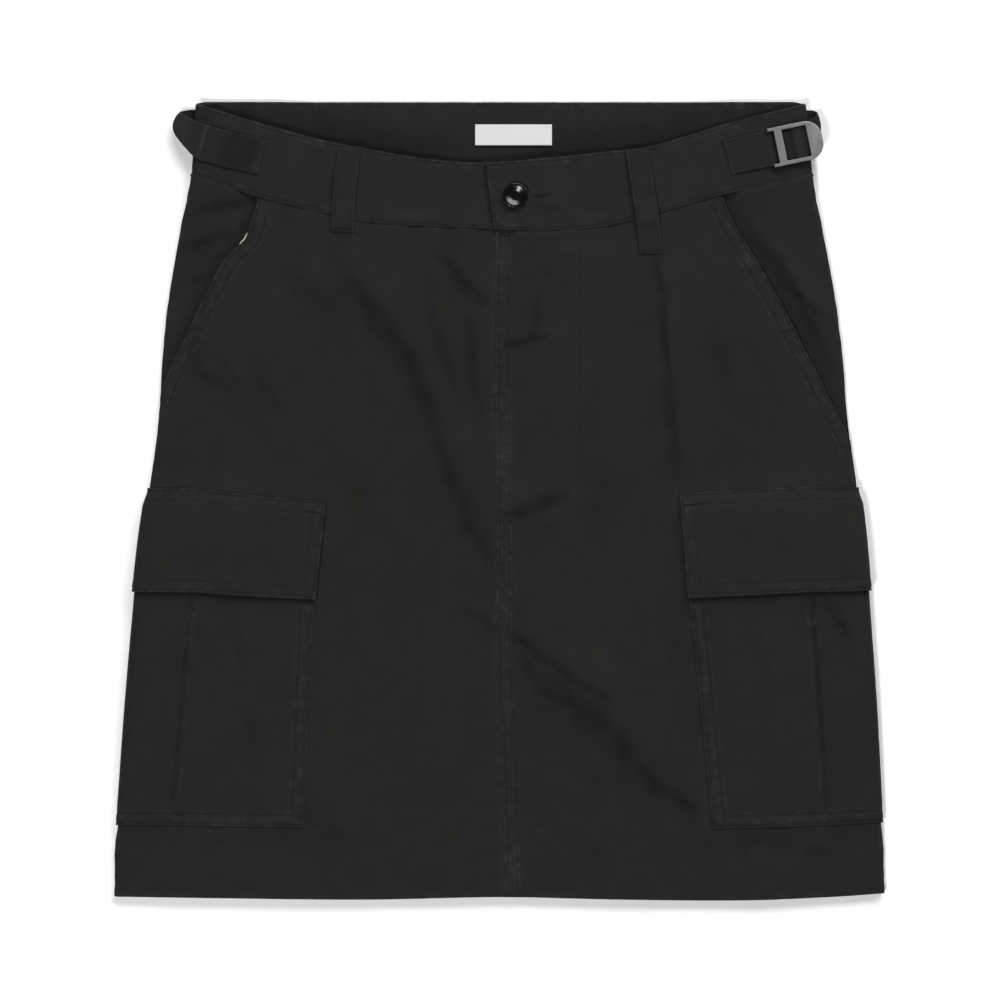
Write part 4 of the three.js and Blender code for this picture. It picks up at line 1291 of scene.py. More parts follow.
# Width, swell height, darkness of the painted shade in the trough, and path, as for the body's folds.
POCKET_FOLDS = {
    -1: [
        (5, 0.8, 0.3, [(-166, -62), (-158, -84), (-154, -100)]),
        (6, 0.7, 0.25, [(-150, -128), (-152, -160)]),
        (5, 0.5, 0.2, [(-186, -70), (-176, -92)]),
    ],
    1: [
        (2.4, 1.3, 0.9, [(194, -58), (199, -68), (206, -77), (212, -85)]),
        (6, 0.6, 0.25, [(150, -70), (158, -110), (156, -150)]),
        (5, 0.5, 0.2, [(132, -100), (138, -140)]),
    ],
}


def pocket_puff(inward, share):
    step = 1 - 0.3 * ramp(inward, PLEAT_IN - 1.5, PLEAT_IN + 1)
    return puff_at(share) * ramp(inward, -1.4, 2.8) * step * ramp(inward, POCKET_HALF, 88)


def pocket_lift(side):
    """A ply up, standing off at the middle and sewn down flat at its front edge and foot."""

    def lift(inward, share):
        edge = POCKET_HALF + POCKET_LEAN[side] * ramp(share, FLAP_FOOT, POCKET_FOOT) - inward
        foot = (share - POCKET_FOOT) * LENGTH
        sewn_down = np.maximum(np.exp(-np.maximum(edge, 0) / 2.5), np.exp(-foot / 2.5) * ramp(inward, 2, 6))
        return PLY + pocket_puff(inward, share) - 0.72 * sewn_down

    return lift


def flap_lift(inward, share):
    curl = 0.4 * np.exp(-(share - FLAP_FOOT) * LENGTH / 7) * ramp(inward, 0, 6)
    on_pocket = 2 * PLY + pocket_puff(inward, share) + curl
    above = PLY + PLY * ramp(share, FLAP_SEWN, POCKET_TOP)
    sewn_down = 0.72 * np.exp(-(FLAP_TOP - share) * LENGTH / 2.5) * ramp(inward, 2, 6)
    return np.where(share <= POCKET_TOP, on_pocket, above) - sewn_down


def pocket_fade(inward, share):
    inside = eased(inward, 5, 14) * eased(inward, POCKET_HALF - 4, POCKET_HALF - 22)
    tall = eased(share, POCKET_FOOT + 0.02, POCKET_FOOT + 0.07) * eased(share, POCKET_TOP, POCKET_TOP - 0.1)
    return inside * tall


def pocket_folds(side):
    def folds(x, y, inward, share):
        low = 0.2 * (1 + rippled(x, y, 24, 31))
        return (swells(POCKET_FOLDS[side], x, y) + low) * pocket_fade(inward, share)

    return folds


def pocket_painted_shade(side):
    def hollows(x, y, inward, share):
        # Painted shade: a dark line along the pleat's fold, darker cloth where the flap covers the pocket,
        # and the fold troughs.
        pleat = 0.7 * np.exp(-(((inward - PLEAT_IN + 1.6) / 0.9) ** 2))
        covered = 0.8 * eased(share, FLAP_FOOT - 0.012, FLAP_FOOT)
        creased = crease_shade(POCKET_FOLDS[side], x, y) * ramp(inward, 3, 8)
        return np.maximum(np.maximum(creased, pleat), covered)

    return hollows


# %% Pocket and flap
def pocket_rise(side):
    """The right pocket's front edge sits a little higher at its top."""
    return lambda inward, share: POCKET_TILT[side] * ramp(inward, 0, POCKET_HALF) * ramp(share, *TILT_ROWS)


def frame_lines(half, low, high, insets, top=True, lean=0):
    lines = []
    for inset in insets:
        lines.append([(half - inset, high - inset), (half + lean - inset, low + inset)])
        lines.append([(half + lean - inset, low + inset), (-half + inset, low + inset)])
        lines.append([(-half + inset, low + inset), (-half + inset, high - inset)])
    if top:
        reach = half - EDGE_ROWS[0]
        lines += [[(-reach, high - inset), (reach, high - inset)] for inset in insets]
    return lines


def edge_columns(half):
    return [turn * (half - inset) for turn in (-1, 1) for inset in EDGE_ROWS]


def make_cargo_pocket(side, side_name):
    low, high = POCKET_FOOT * LENGTH, POCKET_TOP * LENGTH
    beside = [*edge_columns(POCKET_HALF), -PLEAT_IN, -0.8, PLEAT_IN]
    columns = places(-POCKET_HALF, POCKET_HALF, 2.6, beside)
    rows = places(low, high, 2.6, [low + inset for inset in EDGE_ROWS])
    lean = POCKET_LEAN[side]
    under_flap = FLAP_FOOT * LENGTH
    lines = frame_lines(POCKET_HALF, low, under_flap, EDGE_ROWS, top=False, lean=lean)
    lines += [[(place, low + 8), (place, high)] for place in (-PLEAT_IN, PLEAT_IN)]
    rise = pocket_rise(side)
    pocket = Cloth("cargo_pocket_" + side_name, side, pocket_lift(side), folds=pocket_folds(side),
                   hollows=pocket_painted_shade(side), sewn=lines, rise=rise)
    inward, up = np.meshgrid(columns, rows)
    pocket.make(inward + lean * ramp(up, under_flap, low) * ramp(inward, 72, 99), up)

    low, high = FLAP_FOOT * LENGTH, FLAP_TOP * LENGTH
    columns = places(-FLAP_HALF, FLAP_HALF, 2.6, [*edge_columns(FLAP_HALF), -2, 0, 2])
    rows = places(low, high, 2.2, [place for inset in EDGE_ROWS for place in (low + inset, high - inset)])
    flap = Cloth("cargo_flap_" + side_name, side, flap_lift, thick=1.05, folds=pocket_folds(side),
                 sewn=frame_lines(FLAP_HALF, low, high, EDGE_ROWS[:1]),
                 faint=frame_lines(FLAP_HALF, low, high, EDGE_ROWS[1:]), rise=rise)
    flap.make(*np.meshgrid(columns, rows))
    return pocket, flap


cargo = {side: make_cargo_pocket(side, side_name) for side, side_name in SIDE_NAMES.items()}

# %% [markdown]
# ## Loops and straps
# Belt loops and adjusting straps are narrow double strips. Each follows a path of listed places, smoothed,
# with its width across the path. The left strap stands off the side in a loop, the right one lies closer and
# passes through its buckle.


# %% Ribbons
def distances(points):
    """How far along a line of points each of them lies."""
    return np.concatenate([[0], np.cumsum(np.linalg.norm(np.diff(points, axis=0), axis=1))])


class Ribbon:
    """A strip of cloth along a path of rows: across, up, height, lean and bow."""

    def __init__(self, name, rows, width, thick, lies=None, sewn=(), depth=0.2, swell=None, wear_and_shade=None):
        self.name = name
        self.swell = swell
        self.wear_and_shade = wear_and_shade
        rows = np.array(rows, float)
        self.marks = distances(rows[:, :3])
        self.length = self.marks[-1]
        self.columns = [through(self.marks, rows[:, k]) for k in range(5)]
        self.width = width
        self.thick = thick
        self.lies = lies
        self.sewn = [np.asarray(line, float) for line in sewn]
        self.depth = depth

    def middle(self, along):
        return np.stack([self.columns[k](along) for k in range(3)], axis=-1)

    def at(self, along, aside, out=0.0):
        along = np.clip(np.asarray(along, float), 0, self.length)
        aside = np.asarray(aside, float)
        step = self.length * 0.004
        ahead = self.middle(np.minimum(along + step, self.length)) - self.middle(np.maximum(along - step, 0))
        ahead /= np.linalg.norm(ahead, axis=-1, keepdims=True)
        if self.lies is None:
            lean = self.columns[3](along)
            across = np.stack([lean, 1 + 0 * lean, 0 * lean], axis=-1)
        else:
            across = np.zeros(ahead.shape) + np.array(self.lies, float)
        across /= np.linalg.norm(across, axis=-1, keepdims=True)
        away = np.cross(ahead, across)
        away /= np.linalg.norm(away, axis=-1, keepdims=True)
        part = aside / self.width
        points = self.middle(along) + across * aside[..., None]
        points[..., 0] += 4 * part * part * self.columns[4](along)
        pulled = 0.06 * rippled(along, aside, 5, 41)
        if self.swell is not None:
            pulled = pulled + self.swell(along, aside)
        for line in self.sewn:
            gap, _ = off_path(line, along, aside)
            pulled = pulled - self.depth * np.exp(-((gap / 0.7) ** 2))
        return points + away * (out + pulled)[..., None], away

    def make(self, step=2.0):
        along = places(0, self.length, step)
        aside = places(-self.width / 2, self.width / 2, 1.8, [line[0][1] for line in self.sewn])
        along, aside = (g.T for g in np.meshgrid(along, aside))
        rim = np.minimum(np.minimum(along, self.length - along), self.width / 2 - np.abs(aside))
        half = self.thick / 2
        out = edge_round(rim, half) * half
        outer, _ = self.at(along, aside, out)
        inner, _ = self.at(along, aside, -out)
        points, faces = close_wall(outer, inner)
        grain = np.stack([aside, along], axis=-1)
        marks = {"worn": np.exp(-rim / 1.1) * (0.7 + 0.4 * rippled(along, aside, 6, 19))}
        # A ribbon's own marks add wear, and painted light and shade.
        if self.wear_and_shade is not None:
            worn, marks["hollow"] = self.wear_and_shade(along, aside)
            marks["worn"] = marks["worn"] + worn
        piece = mesh_piece(self.name + "_cloth", points, faces, grain, marks, twill)
        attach(piece, "root")
        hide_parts(self.name)
        lay_flat(piece, outer)


# %% Belt loops
LOOP_WIDTH = 14
LOOP_ROWS = (-4.9, 4.9)
ON_BAND = BAND_TOP + SEAM + CLOTH / 2
ON_PANEL = PANEL_TOP + 0.1 + CLOTH / 2
LOOPS = {
    -1: [
        (-89.5, 212, ON_BAND),
        (-90.5, 206, ON_BAND + 0.3),
        (-92, 194, ON_BAND + 1.1),
        (-93, 184, ON_BAND + 1.4),
        (-93.2, 180.5, ON_BAND + 0.5),
        (-93.6, 172, ON_BAND + 0.2),
        (-93.9, 166, ON_PANEL + 1.3),
        (-94, 161, ON_PANEL + 0.6),
    ],
    1: [
        (82, 210.5, ON_BAND),
        (83.5, 202, ON_BAND + 0.4),
        (86, 186, ON_BAND + 1),
        (88, 174, ON_BAND + 0.9),
        (89, 166.5, ON_PANEL + 2.6),
        (89.4, 163.5, ON_PANEL + 1.4),
        (90.2, 156, ON_PANEL + 0.6),
        (91, 148, ON_PANEL + 0.4),
    ],
}


def loop_looks(along, aside):
    """The loops' edges are rubbed unevenly, and their lower halves are pale where a belt slid."""
    edge = np.exp((np.abs(aside) - LOOP_WIDTH / 2) / 1.1)
    pale = eased(along, 25, 33) * eased(along, 51, 44) * (0.7 + 0.5 * rippled(along, aside, 4.5, 51))
    return -0.4 * edge * (0.9 + 0.6 * rippled(along, aside, 5, 52)), -0.45 * pale


def make_belt_loop(side, side_name):
    rows = [(*row, 0, 0) for row in LOOPS[side]]
    rails = [[(0, place), (80, place)] for place in LOOP_ROWS]
    loop = Ribbon("belt_loop_" + side_name, rows, LOOP_WIDTH, 1.0, lies=(1, 0, 0), sewn=rails,
                  depth=0.12, wear_and_shade=loop_looks)
    loop.make(step=1.2)
    return loop


loops = {side: make_belt_loop(side, side_name) for side, side_name in SIDE_NAMES.items()}

# %% Straps
STRAP_WIDTH = 21.5
STRAP_ROWS = (-8.9, 8.9)
STRAPS = {
    -1: [
        (-142, 205.6, 1, 0.25, 0),
        (-161.5, 210, 1, 0.25, 0),
        (-177.5, 214.5, 1, 0.2, 0),
        (-186, 218, 0.97, 0, 1.5),
        (-193.5, 221, 0.8, -0.15, 5),
        (-195.6, 222.6, 0.5, -0.25, 6.5),
        (-193.5, 223.4, 0.2, -0.15, 5),
        (-186, 224.2, 0.02, 0, 1.5),
        (-172, 223.5, 0, 0, 0),
        (-142, 220, 0, 0, 0),
    ],
    1: [
        (136, 205.5, 1, -0.25, 0),
        (160, 210.5, 1, -0.25, 0),
        (178, 214, 1, -0.2, 0),
        (187.5, 217.5, 0.97, -0.1, 0),
        (191.5, 220.5, 0.76, 0, -1.5),
        (192.4, 222, 0.5, 0, -2),
        (191.5, 222.8, 0.24, 0, -1.5),
        (187.5, 223.8, 0.03, 0, 0),
        (172, 223.5, 0, 0, 0),
        (142, 220, 0, 0, 0),
    ],
}


def bump(along, middle, wide):
    return np.exp(-(((along - middle) / wide) ** 2))


def strap_in_buckle(along, aside):
    """The strap dips behind the crossbar, rises again in the buckle's window and is creased there."""
    risen = 0.9 * bump(along, 44, 3.2) + 0.3 * bump(along, 37.4, 1.2)
    return risen - 0.5 * bump(along, 31, 2.2) - 0.6 * bump(along, 39.8, 0.9) - 0.85 * np.exp(-(along / 3.0))


def strap_in_buckle_shade(along, aside):
    # Painted shade behind the crossbar and in the window's creases, and a painted highlight where the strap
    # rises in the window.
    dark = 1.0 * bump(along, 30, 0.9) + 0.6 * bump(along, 36.6, 1.6) + 1.0 * bump(along, 39.8, 1.0)
    return 0 * along, np.minimum(dark, 1) - 0.5 * bump(along, 43.5, 1.8)


def past_fold(along, aside):
    return along - 37 + 0.1 * aside


def strap_in_loop(along, aside):
    """The left strap was folded where it leaves the band, and its sewn end lies flat."""
    tilted = past_fold(along, aside)
    return 0.55 * bump(tilted, 0, 1.1) - 0.3 * bump(tilted, -2.8, 1.4) + 0.3 * rippled(along, aside, 9, 43)


def strap_in_loop_highlight_and_tone(along, aside):
    # Along the fold the strap is lighter, a painted highlight on a rubbed edge; it is darker from the sewn
    # end to near the fold, and paler on the way back.
    tilted = past_fold(along, aside)
    pale = np.maximum(1.3 * bump(tilted, 0, 0.9), 0.6 * eased(along, 42, 50) * eased(along, 84, 66))
    return 0.4 * pale, 0.6 * eased(along, 3, 6) * eased(along, 31, 20) - pale


STRAP_WAYS = {-1: (strap_in_loop, strap_in_loop_highlight_and_tone), 1: (strap_in_buckle, strap_in_buckle_shade)}


def make_strap(side, side_name):
    low = STRAP / 2
    high = STRAP_ZONE_TOP + SEAM + STRAP / 2
    rows = [(x, up, low + (high - low) * rise, lean, bow) for x, up, rise, lean, bow in STRAPS[side]]
    rails = [[(0, place), (200, place)] for place in STRAP_ROWS]
    swell, wear_and_shade = STRAP_WAYS[side]
    strap = Ribbon("side_strap_" + side_name, rows, STRAP_WIDTH, 1.2, sewn=rails,
                   depth=0.15, swell=swell, wear_and_shade=wear_and_shade)
    strap.make(step=0.8)
    return strap


straps = {side: make_strap(side, side_name) for side, side_name in SIDE_NAMES.items()}

# %% [markdown]
# ## Woven label
# The label lies inside the back band, blank white satin with its ends folded under and sewn down. It is a
# thin wall too, a little raised in the middle where it isn't sewn.

# %% Label
LABEL = {"left": -14.7, "right": 31.5, "low": 213.3, "high": 225.9, "thick": 0.7}


def make_label():
    base = on_body(1, np.array(-100.0), np.array(1.5), BAND_LIFT - BAND / 2)[0][2] + SEAM + 0.5
    xs, ys = np.meshgrid(places(LABEL["left"], LABEL["right"], 1.0), places(LABEL["low"], LABEL["high"], 0.9))
    from_ends = np.minimum(xs - LABEL["left"], LABEL["right"] - xs)
    rim = np.minimum.reduce([from_ends, ys - LABEL["low"], LABEL["high"] - ys])
    half = LABEL["thick"] / 2
    out = edge_round(rim, half) * half
    swell = 0.25 * eased(from_ends, 1, 8) + 0.08 * rippled(xs, ys, 6, 51)
    outer = np.stack([xs, ys, base + swell + out], axis=-1)
    inner = np.stack([xs, ys, base + swell - out], axis=-1)
    points, faces = close_wall(outer, inner)
    grain = np.stack([xs, ys], axis=-1)
    label = mesh_piece("label_woven", points, faces, grain, {}, label_satin)
    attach(label, "root")
    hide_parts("label")
    lay_flat(label, outer)


make_label()

# %% [markdown]
# ## Stitches
# Each stitch is a short thread lying in the groove that it pulls, its ends going down into the cloth. One
# stitch is a half tube of a few faces. All stitches of an area are copies of it, turned along their line and
# laid on the same surface as the cloth, so they rise and fall with every fold. Bartacks are the same thread
# sewn crosswise and close together.

# %% One stitch, many times
PITCH = 3.0
STITCH = 2.2
THREAD = 0.2
FINE_STEP = 0.6


def stitch_shape():
    """A half tube along X, of unit length, as points and faces."""
    rings = [(-0.5, 0.25, -0.9), (-0.38, 0.8, -0.1), (0.0, 1.0, 0.15), (0.38, 0.8, -0.1), (0.5, 0.25, -0.9)]
    angles = np.linspace(-0.15, math.pi + 0.15, 5)
    points = [(x, wide * math.cos(a), wide * math.sin(a) + high) for x, wide, high in rings for a in angles]
    columns = len(angles)
    faces = []
    for i in range(len(rings) - 1):
        for j in range(columns - 1):
            a = i * columns + j
            faces.append((a, a + columns, a + columns + 1, a + 1))
    return np.array(points), np.array(faces)


SHAPE_POINTS, SHAPE_FACES = stitch_shape()


def along_line(points, away, pitch):
    """Middles, directions and normals of stitches along a line of points on the cloth."""
    marks = distances(points)
    count = int(marks[-1] // pitch)
    if count < 1:
        return np.zeros((0, 3)), np.zeros((0, 3)), np.zeros((0, 3))
    spots = (np.arange(count) + 0.5) * marks[-1] / count
    at = lambda where: np.stack([np.interp(where, marks, points[:, k]) for k in range(3)], axis=1)
    normal = np.stack([np.interp(spots, marks, away[:, k]) for k in range(3)], axis=1)
    ahead = at(spots + pitch * 0.3) - at(spots - pitch * 0.3)
    return at(spots), ahead, normal


def unit(v):
    return v / np.maximum(np.linalg.norm(v, axis=-1, keepdims=True), 1e-9)


def sewn_thread(name, runs, length=STITCH, thick=THREAD):
    """One mesh of all the stitches in runs of (middles, directions, normals)."""
    middle, ahead, normal = (np.concatenate([run[k] for run in runs]) for k in range(3))
    ahead = unit(ahead)
    aside = unit(np.cross(normal, ahead))
    normal = unit(np.cross(ahead, aside))
    sway = np.random.default_rng(7).normal(0, 0.05, len(middle))[:, None]
    ahead = unit(ahead + aside * sway)
    aside = unit(np.cross(normal, ahead))
    shape = SHAPE_POINTS * (length, thick, thick)
    points = (
        middle[:, None]
        + ahead[:, None] * shape[None, :, :1]
        + aside[:, None] * shape[None, :, 1:2]
        + normal[:, None] * shape[None, :, 2:]
    )
    count = len(SHAPE_POINTS)
    faces = SHAPE_FACES[None] + count * np.arange(len(middle))[:, None, None]
    flat_points = points.reshape(-1, 3)
    piece = mesh_piece(name, flat_points, faces.reshape(-1, 4), flat_points[:, :2], {}, thread)
    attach(piece, "root")
    print(name, len(middle), "stitches")
    return piece


# %% Runs of stitches
def runs_on(cloth, pitch=PITCH, keep=None, lines=None):
    runs = []
    for line in cloth.sewn if lines is None else lines:
        marks = distances(line)
        fine = np.arange(0, marks[-1], FINE_STEP)
        inward = np.interp(fine, marks, line[:, 0])
        up = np.interp(fine, marks, line[:, 1])
        if keep is not None:
            kept = keep(inward, up)
            inward, up = inward[kept], up[kept]
        if len(up) > 6:
            points, away = cloth.at(inward, up, cloth.thick / 2 + 0.02)
            runs.append(along_line(points, away, pitch))
    return runs


def shows_on_front(side):
    """Where a front's sewing isn't covered by the cargo pocket."""
    low, high = POCKET_FOOT * LENGTH, FLAP_TOP * LENGTH
    return lambda inward, up: (inward > POCKET_HALF) | (up < low) | (up > high)


front_runs = []
hem_runs = []
for side in SIDE_NAMES:
    *rows_here, hem_here = fronts[side].sewn
    front_runs += runs_on(fronts[side], keep=shows_on_front(side), lines=rows_here)
    hem_runs += runs_on(fronts[side], pitch=7, keep=shows_on_front(side), lines=[hem_here])
front_runs += runs_on(fly_strip) + runs_on(seam_strip)
stitches_fronts = sewn_thread("stitches_fronts", front_runs)
stitches_hem = sewn_thread("stitches_hem", hem_runs, length=0.9, thick=0.14)

cargo_runs = []
for pocket, flap in cargo.values():
    cargo_runs += runs_on(pocket, keep=lambda inward, up: up < FLAP_FOOT * LENGTH - 1) + runs_on(flap)
stitches_cargo = sewn_thread("stitches_cargo", cargo_runs)

# %% Stitches of band, back, loops, straps and label
back_side_runs = []
for half_side in SIDE_NAMES:
    hem_line = [(-4.5, HEM_LINE), (-230, HEM_LINE)]
    hem_half = Cloth("hem", half_side, 0.0, sewn=[hem_line], depth=0.2, pucker=0.04)
    band_lines_here = [[(-3, up), (-186, up)] for up in BAND_ROWS]
    band_half_here = Cloth("band", half_side, BAND_LIFT, sewn=band_lines_here, **BAND_LOOK)
    back_side_runs += runs_on(hem_half) + runs_on(band_half_here)


def ribbon_runs(ribbon, start, end, pitch=PITCH):
    runs = []
    for line in ribbon.sewn:
        along = np.arange(start, min(end, ribbon.length), FINE_STEP)
        points, away = ribbon.at(along, np.full(len(along), line[0][1]), ribbon.thick / 2 + 0.1)
        turn = np.sign(away[len(away) // 3, 2]) or 1
        runs.append(along_line(points, away * turn, pitch))
    return runs


band_runs = runs_on(left_band, keep=lambda inward, up: inward < 172) + runs_on(right_band)
for side in SIDE_NAMES:
    band_runs += ribbon_runs(loops[side], 1.5, 200)
    band_runs += ribbon_runs(straps[side], 2, 55)
stitches_band = sewn_thread("stitches_band", band_runs)
stitches_back = sewn_thread("stitches_back", back_side_runs)

# %% Bartacks and the buttonhole
def crosswise(points, away, pitch=0.55):
    """Stitches close together across a line of points on the cloth."""
    middle, ahead, normal = along_line(points, away, pitch)
    return middle, np.cross(normal, ahead), normal


def tack_on(cloth, inward, up, across, rise=0.0):
    """A bartack centred on a place of a cloth piece, its length across or up the piece."""
    t = np.linspace(-0.5, 0.5, 24)
    points, away = cloth.at(inward + across * t, up + rise * t, cloth.thick / 2 + 0.05)
    return crosswise(points, away)


def tack_on_ribbon(ribbon, along):
    t = np.linspace(-0.42, 0.42, 24) * ribbon.width
    points, away = ribbon.at(np.full(24, along), t, ribbon.thick / 2 + 0.05)
    turn = np.sign(away[12, 2])
    return crosswise(points, away * turn)


tacks = []
for side in SIDE_NAMES:
    tacks.append(tack_on(cargo[side][1], 100, FLAP_TOP * LENGTH - 8, 11))
    tacks.append(tack_on(fronts[side], mouth_at(side, 0.79) + 4.5, 0.79 * LENGTH, 8))
    tacks.append(tack_on_ribbon(loops[side], loops[side].length - 2.2))
strip_middle = STRIP_WIDTH / 2
for tack_strip, tack_up in ((fly_strip, LENGTH - 3), (fly_strip, FLY_FOOT * LENGTH + 4), (seam_strip, 66)):
    tack_inward = centre_inward(1, np.array(tack_up / LENGTH)) - strip_middle
    tacks.append(tack_on(tack_strip, tack_inward, tack_up, 7.4))
bartacks = sewn_thread("bartacks", tacks, length=1.9)
hole_middle = (buttonhole_line[0][0] + buttonhole_line[1][0]) / 2
hole_across = abs(float(buttonhole_line[0][0] - buttonhole_line[1][0]))
hole_run = tack_on(right_band, hole_middle, BUTTONHOLE["up"], hole_across)
buttonhole = sewn_thread("buttonhole", [hole_run], length=2.4)

# %% [markdown]
# ## Button
# The waist button is turned from black plastic: a raised rim round a dished face, with a polish that shows
# the lamps. A turned profile swept round an axis gives rim and dish in one closed mesh.


# %% Button
def make_button_finish():
    finish = Finish("black_button_gloss")
    place = finish.node("ShaderNodeNewGeometry")
    scuffs = finish.noise(place, 900.0, 4.0, 0.7)
    rough = scuffs * 0.1 + 0.2
    colour = finish.blend(scuffs, (0.0015, 0.0015, 0.0015, 1), (0.004, 0.004, 0.004, 1))
    bump = finish.bump(0.05, 0.00005, scuffs)
    return finish.surface({
        "Base Color": colour,
        "Roughness": rough,
        "Specular IOR Level": 0.4,
        "Normal": bump,
    })


BUTTON = {"across": 9.5, "up": 182.5, "radius": 7.4, "tall": 2.6}


def spun(profile, steps):
    """A closed turned shape from rows of radius and height; the first and last rows lie on the axis."""
    angles = np.arange(steps) * math.tau / steps
    points = [(0, 0, profile[0][1])]
    points += [(r * math.cos(a), r * math.sin(a), z) for r, z in profile[1:-1] for a in angles]
    points.append((0, 0, profile[-1][1]))
    rings = len(profile) - 2
    faces = []
    for j in range(steps):
        after = (j + 1) % steps
        faces.append((0, 1 + after, 1 + j))
        for i in range(rings - 1):
            a, b = 1 + i * steps + j, 1 + i * steps + after
            faces.append((a, b, b + steps, a + steps))
        top = 1 + (rings - 1) * steps
        faces.append((top + j, top + after, len(points) - 1))
    return points, faces


def hard_piece(name, mesh, material):
    mesh.materials.append(material)
    mesh.shade_smooth()
    return put_in_scene(name, mesh)


def solid_piece(name, points, faces, material):
    mesh = bpy.data.meshes.new(name)
    mesh.from_pydata([Vector(p) * MM for p in points], [], faces)
    piece = hard_piece(name, mesh, material)
    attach(piece, "root")
    return piece


BUTTON_PROFILE = [
    (0, 0),
    (0.8, 0),
    (0.93, 0.08),
    (1.0, 0.35),
    (1.0, 0.82),
    (0.99, 0.93),
    (0.97, 0.975),
    (0.94, 0.985),
    (0.86, 0.985),
    (0.82, 0.965),
    *[(0.78 - 0.06 * step, 0.935 - 0.077 * step) for step in range(7)],
    (0.36, 0.43),
    (0.24, 0.4),
    (0, 0.39),
]


def make_button():
    radius, tall = BUTTON["radius"], BUTTON["tall"]
    profile = [(r * radius, z * tall) for r, z in BUTTON_PROFILE]
    points, faces = spun(profile, 72)
    low = BAND_TOP + OVERLAP_RISE + SEAM
    points = [(x + BUTTON["across"], y + BUTTON["up"], z + low) for x, y, z in points]
    button = solid_piece("button_turned", points, faces, make_button_finish())
    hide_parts("button")


make_button()

# %% [markdown]
# ## Slide buckle
# The buckle on the right strap is stamped from steel: a crossbar with short horns, a window for the strap and
# a broad rounded plate. Its outline is drawn as two loops joined by a face, given depth, and its edges are
# broken with a bevel, because a stamped edge always shows a bright line.


# %% Brushed steel
BRUSHED = (400.0, 4200.0, 400.0)


def make_steel():
    finish = Finish("brushed_steel")
    place = finish.node("ShaderNodeNewGeometry")
    brushed = finish.noise(finish.stretched(place, BRUSHED), 1.0, 3.0)
    patina = finish.noise(place, 500.0, 3.0)
    colour = finish.blend(patina, (0.24, 0.24, 0.235, 1), (0.36, 0.36, 0.35, 1))
    rough = brushed * 0.16 + patina * 0.1 + 0.3
    bump = finish.bump(0.25, 0.00005, brushed)
    return finish.surface({"Base Color": colour, "Roughness": rough, "Metallic": 0.85, "Normal": bump})


BUCKLE = {
    "across": 177.7,
    "up": 213.9,
    "turn": 0.2,
    "long": 31.4,
    "wide": 23.4,
    "thick": 1.8,
    "bar": 2.2,
    "horn": 1.8,
    "crossbar": 4.6,
    "crossbar_in": 3.6,
    "plate": 8.4,
    "corner": 9.6,
    "bevel": 0.45,
}
SHARP_ANGLE = 0.5


def buckle_outline():
    half_long, half_wide, corner = BUCKLE["long"] / 2, BUCKLE["wide"] / 2, BUCKLE["corner"]
    horn, inset = BUCKLE["horn"], BUCKLE["crossbar_in"]
    turns = [k * math.pi / 16 for k in range(9)]
    x, y = half_long - corner, half_wide - corner
    low = [(x + corner * math.sin(a), -y - corner * math.cos(a)) for a in turns]
    high = [(x + corner * math.cos(a), y + corner * math.sin(a)) for a in turns]
    left = [
        (-half_long, half_wide),
        (-half_long, half_wide - horn),
        (inset - half_long, half_wide - horn),
        (inset - half_long, horn - half_wide),
        (-half_long, horn - half_wide),
    ]
    return [(-half_long, -half_wide), *low, *high, *left]


def buckle_window():
    half_long = BUCKLE["long"] / 2
    left = BUCKLE["crossbar_in"] + BUCKLE["crossbar"] - half_long
    right = half_long - BUCKLE["plate"]
    high = BUCKLE["wide"] / 2 - BUCKLE["bar"]
    return [(left, -high), (right, -high), (right, high), (left, high)]


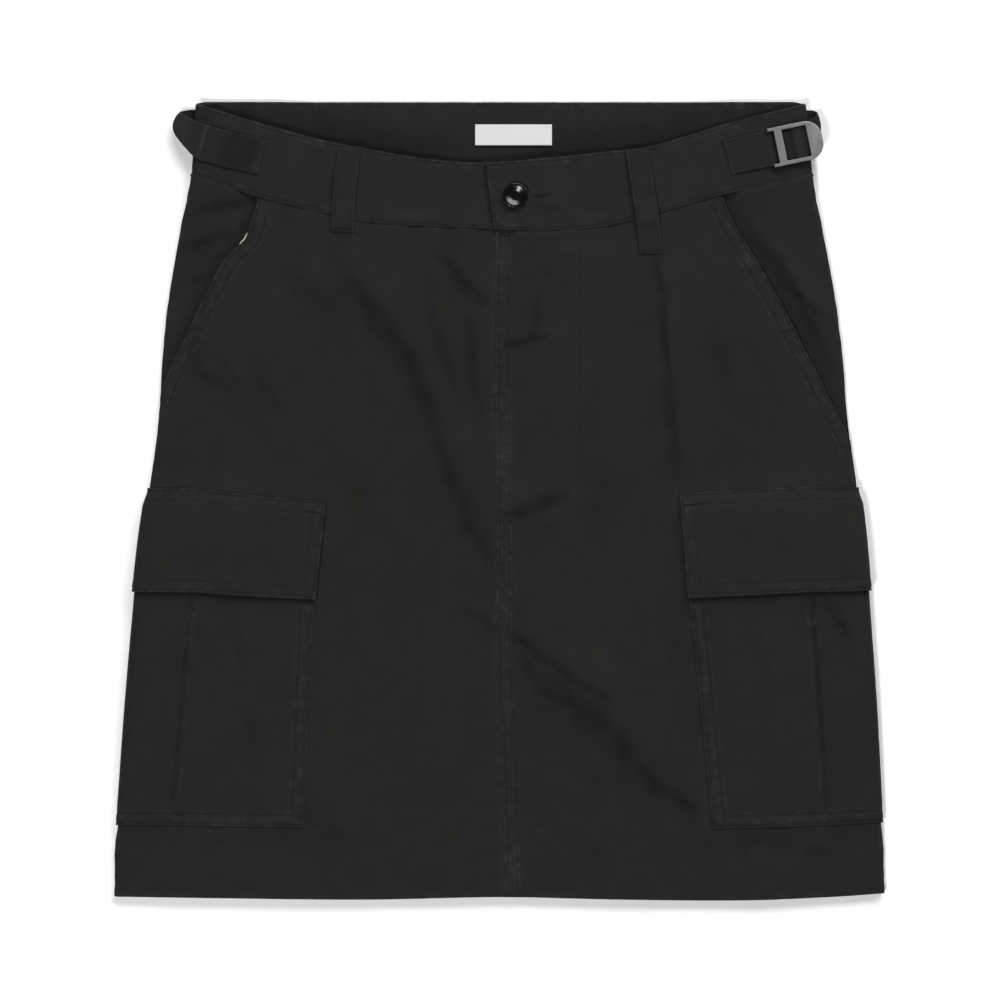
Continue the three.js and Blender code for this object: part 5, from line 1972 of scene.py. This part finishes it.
# %% Buckle
def make_buckle():
    loops_2d = [[Vector((x, y)) for x, y in loop] for loop in (buckle_outline(), buckle_window()[::-1])]
    flat = [p for loop in loops_2d for p in loop]
    triangles = geometry.tessellate_polygon([[Vector((*p, 0)) for p in loop] for loop in loops_2d])
    shape = bmesh.new()
    corners = [shape.verts.new((p.x * MM, p.y * MM, 0)) for p in flat]
    for triangle in triangles:
        shape.faces.new([corners[k] for k in triangle])
    bmesh.ops.recalc_face_normals(shape, faces=shape.faces)
    bmesh.ops.dissolve_limit(shape, angle_limit=0.01, verts=shape.verts, edges=shape.edges)
    grown = bmesh.ops.extrude_face_region(shape, geom=shape.faces[:])
    risen = [part for part in grown["geom"] if isinstance(part, bmesh.types.BMVert)]
    bmesh.ops.translate(shape, verts=risen, vec=(0, 0, BUCKLE["thick"] * MM))
    bmesh.ops.recalc_face_normals(shape, faces=shape.faces)
    sharp = [edge for edge in shape.edges if edge.is_manifold and edge.calc_face_angle(0) > SHARP_ANGLE]
    bevel = {"offset": BUCKLE["bevel"] * MM, "segments": 3, "profile": 0.6}
    bmesh.ops.bevel(shape, geom=sharp, affect="EDGES", clamp_overlap=True, **bevel)
    rise = STRAP_ZONE_TOP + SEAM + STRAP + SEAM
    place = Matrix.Translation(Vector((BUCKLE["across"], BUCKLE["up"], float(rise))) * MM)
    shape.transform(place @ Matrix.Rotation(BUCKLE["turn"], 4, "Z"))
    mesh = bpy.data.meshes.new("slide_buckle_stamped")
    shape.to_mesh(mesh)
    shape.free()
    buckle = hard_piece("slide_buckle_stamped", mesh, make_steel())
    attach(buckle, "root")
    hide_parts("slide_buckle")
    return buckle


buckle_piece = make_buckle()
print("buckle faces", len(buckle_piece.data.polygons))

# %% [markdown]
# ## What each cloth carries
# A table lists the thread and strips sewn on each cloth piece; the loop over the sheets only reads it.

# %% What each piece carries
STITCHED = {
    "front_panel_left_cloth": [stitches_fronts, stitches_hem],
    "pocket_bag_left_cloth": [lining_edge],
    "front_panel_right_cloth": [fly_strip_piece, seam_strip_piece],
    "cargo_pocket_left_cloth": [stitches_cargo],
    "waistband_front_left_cloth": [stitches_band],
    "waistband_front_right_cloth": [buttonhole],
    "cargo_flap_left_cloth": [bartacks],
    "back_panel_cloth": [stitches_back],
}
for sheet_name, facts in sheets.items():
    rests = [] if sheet_name == "back_panel_cloth" else ["back_panel_cloth"]
    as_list(STITCHED.get(sheet_name, []))
